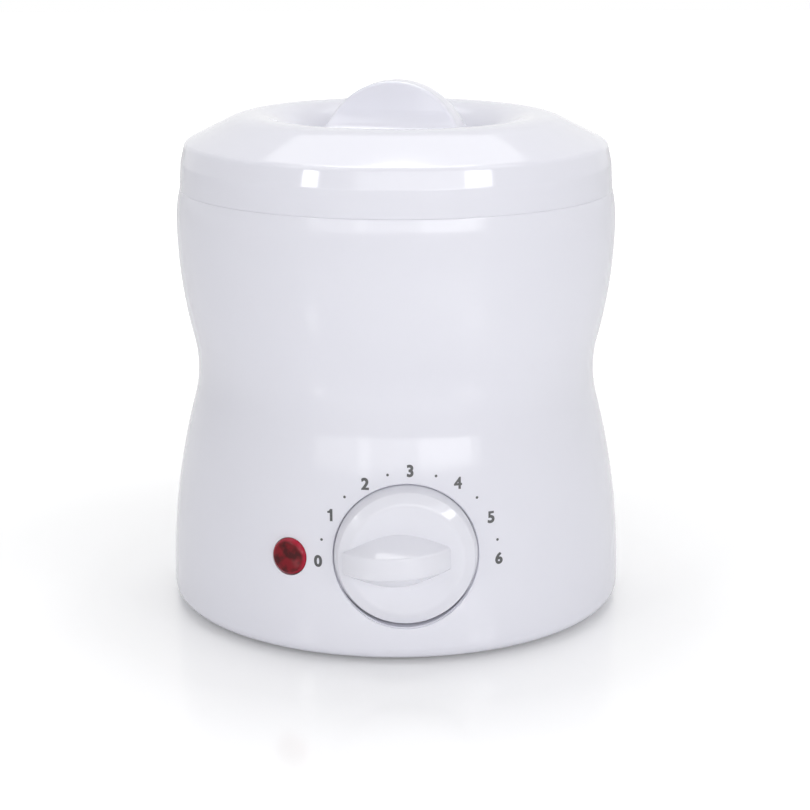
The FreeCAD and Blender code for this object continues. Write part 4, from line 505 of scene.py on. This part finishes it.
def with_modifiers(name, mesh, modifiers):
    """Run a mesh through modifiers and hand back the result as a new bmesh."""
    data = bpy.data.meshes.new(name)
    mesh.to_mesh(data)
    mesh.free()
    rough = bpy.data.objects.new(name, data)
    scene.collection.objects.link(rough)
    for kind, settings in modifiers:
        modifier = rough.modifiers.new(kind, kind)
        for setting, value in settings.items():
            setattr(modifier, setting, value)
    evaluated = rough.evaluated_get(bpy.context.evaluated_depsgraph_get())
    result = bmesh.new()
    result.from_mesh(evaluated.to_mesh())
    evaluated.to_mesh_clear()
    bpy.data.objects.remove(rough)
    bpy.data.meshes.remove(data)
    return finished(result)


print("piece tools ready")

# %% [markdown]
# ## Housing
# The housing is one moulding with walls of an even thickness: a broad lower bulge that holds the dial, a
# waist to grip, and an upper bulge that carries the lid. Arcs that meet tangent to each other make the
# outside, and the same centres with other radii make the inside, so the wall stays even.

# %% Housing section
LOWER_ARC = (72.88 - 228.151, 7.4, 228.151)
WAIST_ARC = (104.4, 77.13, 40.7)
UPPER_ARC = (69.6 - 150.015, 124.2, 150.015)
CROWN_ARC = (27.2, 124.2, 42.4)
SEAM = 134.2
WALL = 2.6


def rise_between(first, second):
    """The angle of the line between two arc centres, along which the arcs touch."""
    return math.degrees(math.atan2(second[1] - first[1], second[0] - first[0]))


LOWER_END = rise_between(LOWER_ARC, WAIST_ARC)
UPPER_START = rise_between(UPPER_ARC, WAIST_ARC)
BASE_LEVEL = 1.5
BASE_ROUND = 4.2
BASE_CENTRE = 68.67
BASE_START = -0.435
RIM_INSIDE = 65.0
FLOOR_LEVEL = 4.6
MOUTH_RADIUS = 65.4
LEDGE_RADIUS = 58.6
LEDGE_TOP = 119.2
LEDGE_UNDER = 116.6
SEAM_ROUND = 0.4
SEAM_INSET = 0.5


def radius_on(arc, height, side=1):
    return arc[0] + side * math.sqrt(arc[2] ** 2 - (height - arc[1]) ** 2)


def shell_radius(height):
    """The outer radius of the housing at a height between the base round and the seam."""
    if height < LOWER_ARC[1] + LOWER_ARC[2] * math.sin(math.radians(LOWER_END)):
        return radius_on(LOWER_ARC, height)
    if height < UPPER_ARC[1] + UPPER_ARC[2] * math.sin(math.radians(UPPER_START)):
        return radius_on(WAIST_ARC, height, side=-1)
    return radius_on(UPPER_ARC if height < UPPER_ARC[1] else CROWN_ARC, height)


crown_end = math.degrees(math.asin((SEAM - SEAM_INSET - CROWN_ARC[1]) / CROWN_ARC[2]))
inner_start = math.degrees(math.asin((LEDGE_UNDER - UPPER_ARC[1]) / (UPPER_ARC[2] - WALL)))
inner_end = math.degrees(math.asin((FLOOR_LEVEL - LOWER_ARC[1]) / (LOWER_ARC[2] - WALL)))
ledge_root = UPPER_ARC[0] + (UPPER_ARC[2] - WALL) * math.cos(math.radians(inner_start))
housing_section = (
    Section(RIM_INSIDE, FLOOR_LEVEL)
    .line(RIM_INSIDE, BASE_LEVEL)
    .line(BASE_CENTRE, BASE_LEVEL)
    .arc(BASE_CENTRE, BASE_LEVEL + BASE_ROUND, 90 + BASE_START, 8)
    .arc(LOWER_ARC[0], LOWER_ARC[1], LOWER_END - BASE_START, 28)
    .arc(WAIST_ARC[0], WAIST_ARC[1], UPPER_START - LOWER_END, 20)
    .arc(UPPER_ARC[0], UPPER_ARC[1], -UPPER_START, 22)
    .arc(CROWN_ARC[0], CROWN_ARC[1], crown_end, 8)
    .corner((radius_on(CROWN_ARC, SEAM), SEAM), (MOUTH_RADIUS, SEAM), SEAM_ROUND)
    .line(MOUTH_RADIUS, SEAM)
    .line(MOUTH_RADIUS, LEDGE_TOP)
    .line(LEDGE_RADIUS, LEDGE_TOP)
    .line(LEDGE_RADIUS, LEDGE_UNDER)
    .line(ledge_root, LEDGE_UNDER)
    .arc(UPPER_ARC[0], UPPER_ARC[1], UPPER_START - inner_start, 12)
    .arc(WAIST_ARC[0], WAIST_ARC[1], LOWER_END - UPPER_START, 14)
    .arc(LOWER_ARC[0], LOWER_ARC[1], inner_end - LOWER_END, 18)
    .close())
housing_mesh = housing_section.turned()
print("housing radius", round(shell_radius(LOWER_ARC[1]), 2), "mm at the bulge and",
      round(shell_radius(WAIST_ARC[1]), 2), "mm at the waist")

# %% [markdown]
# ### Holes
# The dial's hole, the lamp's hole and the flat spot for the cord gland are cut afterwards, like the
# side cores of a mould. Each cutter is a plain cylinder that stops inside the hollow of the housing.

# %% Cutters
DIAL_HOLE = 22.18
LAMP_HOLE = 5.75
DIAL_HEIGHT = 33.5
GLAND_HEIGHT = 16.5
GLAND_HOLE = 5.0
GLAND_FLAT = (9.0, 71.6)
CUT_FROM, CUT_TO = 60, 80
FORWARD = Matrix.Rotation(math.pi / 2, 4, "X")
BACKWARD = Matrix.Rotation(-math.pi / 2, 4, "X")


def cylinder(radius, start, end, steps=128):
    """A closed cylinder about Z from one height to another."""
    mesh = bmesh.new()
    bmesh.ops.create_cone(mesh, cap_ends=True, segments=steps, radius1=radius * MM, radius2=radius * MM,
                          depth=(end - start) * MM, matrix=Matrix.Translation((0, 0, (start + end) / 2 * MM)))
    return mesh


def to_front(mesh, height, turn=0.0):
    """Lay a mesh drawn along Z so that Z points out of the front, at a height and turned about the axis."""
    lay = Matrix.Rotation(-turn, 4, "Z") @ Matrix.Translation((0, 0, height * MM)) @ FORWARD
    bmesh.ops.transform(mesh, matrix=lay, verts=mesh.verts)
    return mesh


def to_back(mesh, height):
    bmesh.ops.transform(mesh, matrix=Matrix.Translation((0, 0, height * MM)) @ BACKWARD, verts=mesh.verts)
    return mesh


def carved(name, mesh, cutters):
    """Take each cutter away from a mesh with an exact Boolean."""
    tools = []
    for cutter in cutters:
        bmesh.ops.recalc_face_normals(cutter, faces=cutter.faces)
        data = bpy.data.meshes.new("cutter")
        cutter.to_mesh(data)
        cutter.free()
        tools.append(bpy.data.objects.new("cutter", data))
        scene.collection.objects.link(tools[-1])
    result = with_modifiers(name, mesh, [
        ("BOOLEAN", {"object": tool, "operation": "DIFFERENCE", "solver": "EXACT"}) for tool in tools])
    for tool in tools:
        data = tool.data
        bpy.data.objects.remove(tool)
        bpy.data.meshes.remove(data)
    return result


print("cutters ready")

# %% Cut the housing
housing_mesh = carved("housing_shell", housing_mesh, [
    to_front(cylinder(DIAL_HOLE, CUT_FROM, CUT_TO, FINE_STEPS), DIAL_HEIGHT),
    to_front(cylinder(LAMP_HOLE, CUT_FROM, CUT_TO), LAMP_HEIGHT, LAMP_TURN),
    to_back(cylinder(*GLAND_FLAT, CUT_TO), GLAND_HEIGHT),
    to_back(cylinder(GLAND_HOLE, CUT_FROM, CUT_TO), GLAND_HEIGHT)])
as_object("housing_shell", housing_mesh, "housing_body", shell_white, ["housing"])

# %% [markdown]
# ## Dial recess
# The dial sits in a round pocket with a softly rolled lip. The lip has to follow a barrel-shaped wall, so
# it is spun about the dial's axis first, and then each point of its rolled edge is slid along that axis
# until it lies on the wall. It starts tangent to the wall and ends square to it. What lies deeper in the
# pocket, where the knob's disc runs, stays true to the axis.

# %% Dial recess
RECESS_RADIUS = 21.75
LIP_REACH, LIP_DEPTH = 0.55, 0.4
LIP_STEPS = 12
NOMINAL = 71.4
PROUD = 0.012
SLIDE_FROM = 68
POCKET_RADIUS = 21.5
POCKET_TOP = NOMINAL - 1.0
LIP_BACK = NOMINAL - 1.5
POCKET_FLOOR, POCKET_BACK = 63.7, 61.7
SHAFT_HOLE = 4.86


def shell_depth(x, height):
    """How far in front of the axis the housing's wall stands, at a place across and a height."""
    return math.sqrt(shell_radius(height) ** 2 - x ** 2)


lip_radius = RECESS_RADIUS + LIP_REACH
recess = Section(lip_radius, NOMINAL + PROUD)
for step in range(1, LIP_STEPS + 1):
    angle = math.radians(90 * step / LIP_STEPS)
    recess.line(RECESS_RADIUS + LIP_REACH * (1 - math.sin(angle)),
                NOMINAL + PROUD - LIP_DEPTH * (1 - math.cos(angle)))
recess.line(RECESS_RADIUS, POCKET_TOP).line(POCKET_RADIUS, POCKET_TOP).line(POCKET_RADIUS, POCKET_FLOOR)
recess.line(SHAFT_HOLE, POCKET_FLOOR).line(SHAFT_HOLE, POCKET_BACK).line(lip_radius, POCKET_BACK)
recess.line(lip_radius, LIP_BACK).close()
recess_mesh = to_front(recess.turned(FINE_STEPS), DIAL_HEIGHT)
for vertex in recess_mesh.verts:
    if -vertex.co.y / MM > SLIDE_FROM:
        drop = NOMINAL + vertex.co.y / MM
        vertex.co.y = -(shell_depth(vertex.co.x / MM, vertex.co.z / MM) - drop) * MM
as_object("dial_recess", finished(recess_mesh), "housing_body", shell_white, ["housing"])

# %% [markdown]
# ## Dial knob
# The knob is a thick disc with a flat face, a shallow slope round it and a drafted side. The disc is
# turned about the dial's axis. The fin to turn it by is part of a thin wheel that stands across the face:
# a wheel turned about an upright axis, thicker towards its middle, and cut off where it meets the face.

# %% Knob disc
KNOB_FACE = 73.4
KNOB_FLAT = (17.0, KNOB_FACE)
KNOB_SLOPE = (20.3, 71.6)
KNOB_SIDE = (21.4, 69.0)
KNOB_BACK = 64.3
SLOPE_ROUND = 3.2
EDGE_ROUND = 0.6

knob_section = (
    Section(0, KNOB_FACE)
    .corner(KNOB_FLAT, KNOB_SLOPE, SLOPE_ROUND, 10)
    .corner(KNOB_SLOPE, KNOB_SIDE, EDGE_ROUND, 6)
    .line(*KNOB_SIDE)
    .corner((KNOB_SIDE[0], KNOB_BACK), (0, KNOB_BACK), EDGE_ROUND, 4)
    .line(0, KNOB_BACK)
    .close())
as_object("knob_disc", to_front(knob_section.turned(FINE_STEPS), DIAL_HEIGHT), "knob_body", knob_white,
          ["dial_knob"])

# %% Knob fin
FIN_RADIUS = 19.15
FIN_OFFSET = -2.9
FIN_CENTRE = 62.65
FIN_BAND = 6.5
FIN_REACH = 9.6
FIN_SLOPE = math.radians(30)
FIN_FOOT = FIN_BAND / 2 + FIN_REACH * math.tan(FIN_SLOPE)
FIN_ROUND = 0.8
FIN_TILT = math.radians(2.5)
FIN_SUNK = 0.4

fin_wheel = (
    Section(0, -FIN_FOOT)
    .line(FIN_RADIUS - FIN_REACH, -FIN_FOOT)
    .corner((FIN_RADIUS, -FIN_BAND / 2), (FIN_RADIUS, FIN_BAND / 2), FIN_ROUND, 6)
    .corner((FIN_RADIUS, FIN_BAND / 2), (FIN_RADIUS - FIN_REACH, FIN_FOOT), FIN_ROUND, 6)
    .line(FIN_RADIUS - FIN_REACH, FIN_FOOT)
    .line(0, FIN_FOOT))
fin = fin_wheel.turned(FINE_STEPS)
bmesh.ops.translate(fin, verts=fin.verts, vec=(FIN_OFFSET * MM, -FIN_CENTRE * MM, 0))
cut = bmesh.ops.bisect_plane(fin, geom=all_of(fin), plane_co=(0, (FIN_SUNK - KNOB_FACE) * MM, 0),
                             plane_no=(0, 1, 0), clear_outer=True)
outline = [item for item in cut["geom_cut"] if isinstance(item, bmesh.types.BMEdge)]
bmesh.ops.contextual_create(fin, geom=outline)
bmesh.ops.transform(fin, verts=fin.verts, matrix=Matrix.Translation((0, 0, DIAL_HEIGHT * MM))
                    @ Matrix.Rotation(-FIN_TILT, 4, "Y"))
as_object("knob_fin", finished(fin), "knob_body", knob_white, ["dial_knob"])

# %% [markdown]
# ## Lid
# The lid is a dished cap: a skirt that continues the housing, a narrow band that catches the light, a
# shallow slope up to a rounded ridge, and a hollow in the middle. It is turned from its outer section and
# given its wall by a Solidify modifier, and a ring under it plugs into the housing's mouth.

# %% Lid
def up(radius, height):
    return (radius, SEAM + height)


LID_HOLLOW = up(27.34, 10.4)
LID_RIDGE = up(40.76, 27.27)
LID_SHOULDER = up(66.5, 14.2)
LID_BAND = up(67.9, 8.2)
LID_EDGE = up(68.4, 0)
HOLLOW_ROUND, RIDGE_ROUND, SHOULDER_ROUND, BAND_ROUND = 6.5, 17, 2.4, 5.0
LID_WALL = 2.4
LID_EDGE_BEVEL = 0.3
PLUG_INSIDE, PLUG_OUTSIDE = 62.9, 64.9
PLUG_FOOT, PLUG_TOP = 128.2, 147.4

lid_section = (
    Section(0, LID_HOLLOW[1])
    .corner(LID_HOLLOW, LID_RIDGE, HOLLOW_ROUND, 12)
    .corner(LID_RIDGE, LID_SHOULDER, RIDGE_ROUND, 36)
    .corner(LID_SHOULDER, LID_BAND, SHOULDER_ROUND, 12)
    .corner(LID_BAND, LID_EDGE, BAND_ROUND, 4)
    .line(*LID_EDGE))
lid_cap_mesh = with_modifiers("lid_cap", lid_section.turned(), [
    ("SOLIDIFY", {"thickness": LID_WALL * MM, "offset": -1.0, "use_even_offset": True}),
    ("BEVEL", {"width": LID_EDGE_BEVEL * MM, "segments": 3, "limit_method": "ANGLE",
               "angle_limit": math.radians(60)})])
as_object("lid_cap", lid_cap_mesh, "lid_body", shell_white, ["lid"])
lid_plug = (
    Section(PLUG_INSIDE, PLUG_FOOT)
    .line(PLUG_OUTSIDE, PLUG_FOOT)
    .line(PLUG_OUTSIDE, PLUG_TOP)
    .line(PLUG_INSIDE, PLUG_TOP)
    .close())
as_object("lid_plug_ring", lid_plug.turned(), "lid_body", shell_white, ["lid"])

# %% [markdown]
# ## Lid fin
# The grip fin is a half-disc standing in the lid's hollow, turned a little so that a right hand falls on
# it. Its outline is sliced into bands near the foot, pulled to its width and rounded along its edge. Then
# each point is moved out by how low it stands, so that the foot sweeps into the hollow.

# %% Lid fin outline
LID_FIN_RADIUS = 22.6
LID_FIN_WIDTH = 8.4
LID_FIN_FLARE = 14.0
LID_FIN_FOOT = 14.4
LID_FIN_BANDS = 11
LID_FIN_ROUND = 1.1
ROUNDED_FROM = 0.8
FOOT_LEVEL = 0.1

flare_out = math.sqrt((LID_FIN_RADIUS + LID_FIN_FLARE) ** 2 - LID_FIN_FLARE ** 2)
flare_turn = math.degrees(math.atan2(LID_FIN_FLARE, flare_out))
lid_fin_mesh = (
    Section(flare_out, 0)
    .arc(flare_out, LID_FIN_FLARE, flare_turn - 90, 12)
    .arc(0, 0, 180 - 2 * flare_turn, 72)
    .arc(-flare_out, LID_FIN_FLARE, flare_turn - 90, 12)
    .close()).mesh
bmesh.ops.contextual_create(lid_fin_mesh, geom=lid_fin_mesh.edges[:])
for step in range(1, LID_FIN_BANDS + 1):
    bmesh.ops.bisect_plane(lid_fin_mesh, geom=all_of(lid_fin_mesh), plane_no=(0, 0, 1),
                           plane_co=(0, 0, LID_FIN_FOOT * step / LID_FIN_BANDS * MM))
raised = bmesh.ops.extrude_face_region(lid_fin_mesh, geom=lid_fin_mesh.faces[:])
bmesh.ops.translate(lid_fin_mesh, verts=points_among(raised["geom"]), vec=(0, LID_FIN_WIDTH * MM, 0))
bmesh.ops.recalc_face_normals(lid_fin_mesh, faces=lid_fin_mesh.faces)
rim = [edge for edge in lid_fin_mesh.edges if edge.calc_face_angle(0) > ROUNDED_FROM and
       max(vertex.co.z for vertex in edge.verts) > FOOT_LEVEL * MM]
bmesh.ops.bevel(lid_fin_mesh, geom=rim, offset=LID_FIN_ROUND * MM, segments=5, profile=0.5, affect="EDGES",
                material=-1)
bmesh.ops.translate(lid_fin_mesh, verts=lid_fin_mesh.verts, vec=(0, -LID_FIN_WIDTH / 2 * MM, 0))
print("lid fin outline", len(lid_fin_mesh.verts), "points")

# %% Sweep the lid fin's foot
LID_FIN_TURN = math.radians(-15)
LID_FIN_BASE = 144.6
LID_FIN_SWEEP = 9.0
LID_FIN_DRAFT = 0.11
LID_FIN_MIDDLE = 2.0

for vertex in lid_fin_mesh.verts:
    height = vertex.co.z / MM
    sunk = min(max(LID_FIN_FOOT - height, 0.0), LID_FIN_SWEEP)
    swept = LID_FIN_SWEEP - math.sqrt(LID_FIN_SWEEP ** 2 - sunk ** 2)
    drafted = LID_FIN_DRAFT * (LID_FIN_RADIUS - height)
    share = min(1.0, abs(vertex.co.y) / (LID_FIN_MIDDLE * MM))
    vertex.co.y += math.copysign((swept + drafted) * MM, vertex.co.y) * share
stand = Matrix.Translation((0, 0, LID_FIN_BASE * MM)) @ Matrix.Rotation(LID_FIN_TURN, 4, "Z")
bmesh.ops.transform(lid_fin_mesh, verts=lid_fin_mesh.verts, matrix=stand)
as_object("lid_fin", finished(lid_fin_mesh), "lid_body", shell_white, ["lid"])

# %% [markdown]
# ## Indicator lens
# The lens is a small smooth dome pressed into the wall, turned about its own axis and laid to the left of
# the dial. The wedge-shaped patches and the bright rim that are seen in it are painted light, shade and glow
# in its material.

# %% Indicator lens
LENS_TOP = 73.0
LENS_SHOULDER = (5.2, 72.55)
LENS_SIDE = (5.6, 71.3)
LENS_BACK = 70.6
LENS_ROUND = 1.4

lens_section = (
    Section(0, LENS_TOP)
    .corner(LENS_SHOULDER, LENS_SIDE, LENS_ROUND, 10)
    .line(LENS_SIDE[0], LENS_BACK)
    .line(0, LENS_BACK)
    .close())
as_object("lens_jewel", to_front(lens_section.turned(48), LAMP_HEIGHT, LAMP_TURN), "housing_body", lens_red,
          ["indicator_lens"])

# %% [markdown]
# ## Dial scale
# The numbers 0 to 6 are printed round the dial with a dot between each pair. Each figure is drawn as
# text, made into a mesh, sized to the same height, and every point of it is laid on the curved wall. The
# figures are a little bolder than Blender's face, so each outline is pushed out along its own normals.

# %% Dial scale
FIGURES = (("0", -26.16, 31.5), ("1", -22.46, 45.57), ("2", -12.07, 55.26), ("3", 1.21, 59.14),
           ("4", 15.48, 55.01), ("5", 25.5, 44.02), ("6", 27.97, 31.39))
DOTS = ((-25.05, 38.07), (-18.14, 51.17), (-5.43, 58.01), (8.91, 57.45), (21.22, 50.26), (27.5, 37.04))
FIGURE_HEIGHT = 3.6
BOLD = 0.20
INK = 0.03
DOT_RADIUS = 0.4


def printed(name, mesh, x, height, bold=0.0):
    """Lay a flat mesh, drawn about the origin in X and Y, on the wall as a thin film of ink."""
    film = bmesh.ops.extrude_face_region(mesh, geom=mesh.faces[:])
    top = set(points_among(film["geom"]))
    bmesh.ops.translate(mesh, verts=list(top), vec=(0, 0, MM))
    bmesh.ops.recalc_face_normals(mesh, faces=mesh.faces)
    for vertex, side in [(vertex, Vector((vertex.normal.x, vertex.normal.y, 0))) for vertex in mesh.verts]:
        if side.length > 0.1:
            vertex.co += side.normalized() * bold * MM
    for vertex in mesh.verts:
        across, rise = vertex.co.x / MM + x, vertex.co.y / MM + height
        lift = INK if vertex in top else -INK
        vertex.co = (across * MM, -(shell_depth(across, rise) + lift) * MM, rise * MM)
    as_object(name, finished(mesh), "housing_body", dial_ink)


def figure_mesh(text):
    """A figure in Blender's own face, as a flat mesh of the right height about the origin."""
    curve = bpy.data.curves.new("figure", "FONT")
    curve.body = text
    curve.size = 1.0
    holder = bpy.data.objects.new("figure", curve)
    scene.collection.objects.link(holder)
    evaluated = holder.evaluated_get(bpy.context.evaluated_depsgraph_get())
    mesh = bmesh.new()
    mesh.from_mesh(evaluated.to_mesh())
    evaluated.to_mesh_clear()
    bpy.data.objects.remove(holder)
    bpy.data.curves.remove(curve)
    bmesh.ops.remove_doubles(mesh, verts=mesh.verts, dist=1e-5)
    low = Vector([min(vertex.co[axis] for vertex in mesh.verts) for axis in range(3)])
    high = Vector([max(vertex.co[axis] for vertex in mesh.verts) for axis in range(3)])
    scale = (FIGURE_HEIGHT - 2 * BOLD) * MM / (high.y - low.y)
    bmesh.ops.translate(mesh, verts=mesh.verts, vec=-(low + high) / 2)
    bmesh.ops.scale(mesh, verts=mesh.verts, vec=(scale, scale, scale))
    return mesh


def figure_one():
    """The figure 1 with its flag, drawn as one outline."""
    outline = Section(-0.02, -0.5)
    for across, rise in ((-0.02, 0.16), (-0.23, 0.16), (-0.23, 0.30), (-0.08, 0.35), (0.0, 0.5), (0.2, 0.5),
                         (0.2, -0.5)):
        outline.line(across, rise)
    outline.close()
    bmesh.ops.contextual_create(outline.mesh, geom=outline.mesh.edges[:])
    bmesh.ops.transform(outline.mesh, verts=outline.mesh.verts,
                        matrix=Matrix.Scale(FIGURE_HEIGHT, 4) @ Matrix.Rotation(-math.pi / 2, 4, "X"))
    return outline.mesh


print("printing tools ready")

# %% Print the dial
for text, x, height in FIGURES:
    if text == "1":
        printed("dial_figure_1", figure_one(), x, height)
    else:
        printed("dial_figure_" + text, figure_mesh(text), x, height, BOLD)
for number, (x, height) in enumerate(DOTS):
    spot = bmesh.new()
    bmesh.ops.create_circle(spot, cap_ends=True, segments=24, radius=DOT_RADIUS * MM)
    printed("dial_dot_%d" % number, spot, x, height)

# %% [markdown]
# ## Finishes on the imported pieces
# The pieces inside the housing, and the pot with its bail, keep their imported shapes. Each takes the
# material that its slot names in the part's record.

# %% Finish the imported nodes
slots = {part["node"]: part["material_slot"] for part in frame["record"]["subparts"]}
by_slot = dict(shell_white=shell_white, base_grey=base_grey, foot_rubber=foot_rubber, screw_steel=screw_steel,
               well_aluminium=well_aluminium, pot_aluminium=pot_aluminium, bail_steel=bail_steel,
               band_steel=band_steel, insulation_wool=insulation_wool, brass_parts=brass_parts,
               thermostat_case=thermostat_case, copper_tube=copper_tube, fuse_case=fuse_case,
               lens_red=lens_red, block_white=block_white, gland_black=gland_black, lead_brown=lead_brown,
               lead_blue=lead_blue, lead_green=lead_green)
for name, node in nodes.items():
    for index in range(len(node.data.materials)):
        node.data.materials[index] = by_slot[slots[name]]
print(len(nodes), "packed nodes finished")

# %% [markdown]
# ## Table
# The heater stands on a white glossy table that runs out of sight. It is part of the picture only. Seen by
# the camera it gains a glow that grows with the distance from the middle, so that it fades into the white
# backdrop and keeps the heater's shadow and its reflection.

# %% Table
TABLE_TONE = (0.96, 0.96, 0.96, 1)
FADE_FROM, FADE_TO = 0.10, 0.55
GLOW_NEAR, GLOW_FAR = 0.10, 0.75
TABLE_REACH = 3.0

table_white, tree, shader = shaded("table_white")
place = tree.nodes.new("ShaderNodeTexCoord").outputs["Object"]
specks = noise_on(tree, place, 25.0)
tree.links.new(ranged(tree, specks.outputs["Fac"], 0.3, 0.7, 0.10, 0.14), shader.inputs["Roughness"])
shader.inputs["Base Color"].default_value = TABLE_TONE
away = tree.nodes.new("ShaderNodeVectorMath")
away.operation = "LENGTH"
tree.links.new(place, away.inputs[0])
fading = ranged(tree, away.outputs["Value"], FADE_FROM, FADE_TO, GLOW_NEAR, GLOW_FAR)
shader.inputs["Emission Color"].default_value = (1, 1, 1, 1)
glow = tree.nodes.new("ShaderNodeLightPath")
seen_glow = tree.nodes.new("ShaderNodeMath")
seen_glow.operation = "MULTIPLY"
tree.links.new(glow.outputs["Is Camera Ray"], seen_glow.inputs[0])
tree.links.new(fading, seen_glow.inputs[1])
tree.links.new(seen_glow.outputs[0], shader.inputs["Emission Strength"])
table_mesh = bmesh.new()
bmesh.ops.create_grid(table_mesh, x_segments=1, y_segments=1, size=TABLE_REACH)
table_data = bpy.data.meshes.new("table_top")
table_mesh.to_mesh(table_data)
table_mesh.free()
table_data.materials.append(table_white)
table_top = bpy.data.objects.new("table_top", table_data)
scene.collection.objects.link(table_top)
print("table", round(2 * TABLE_REACH, 1), "metres wide")
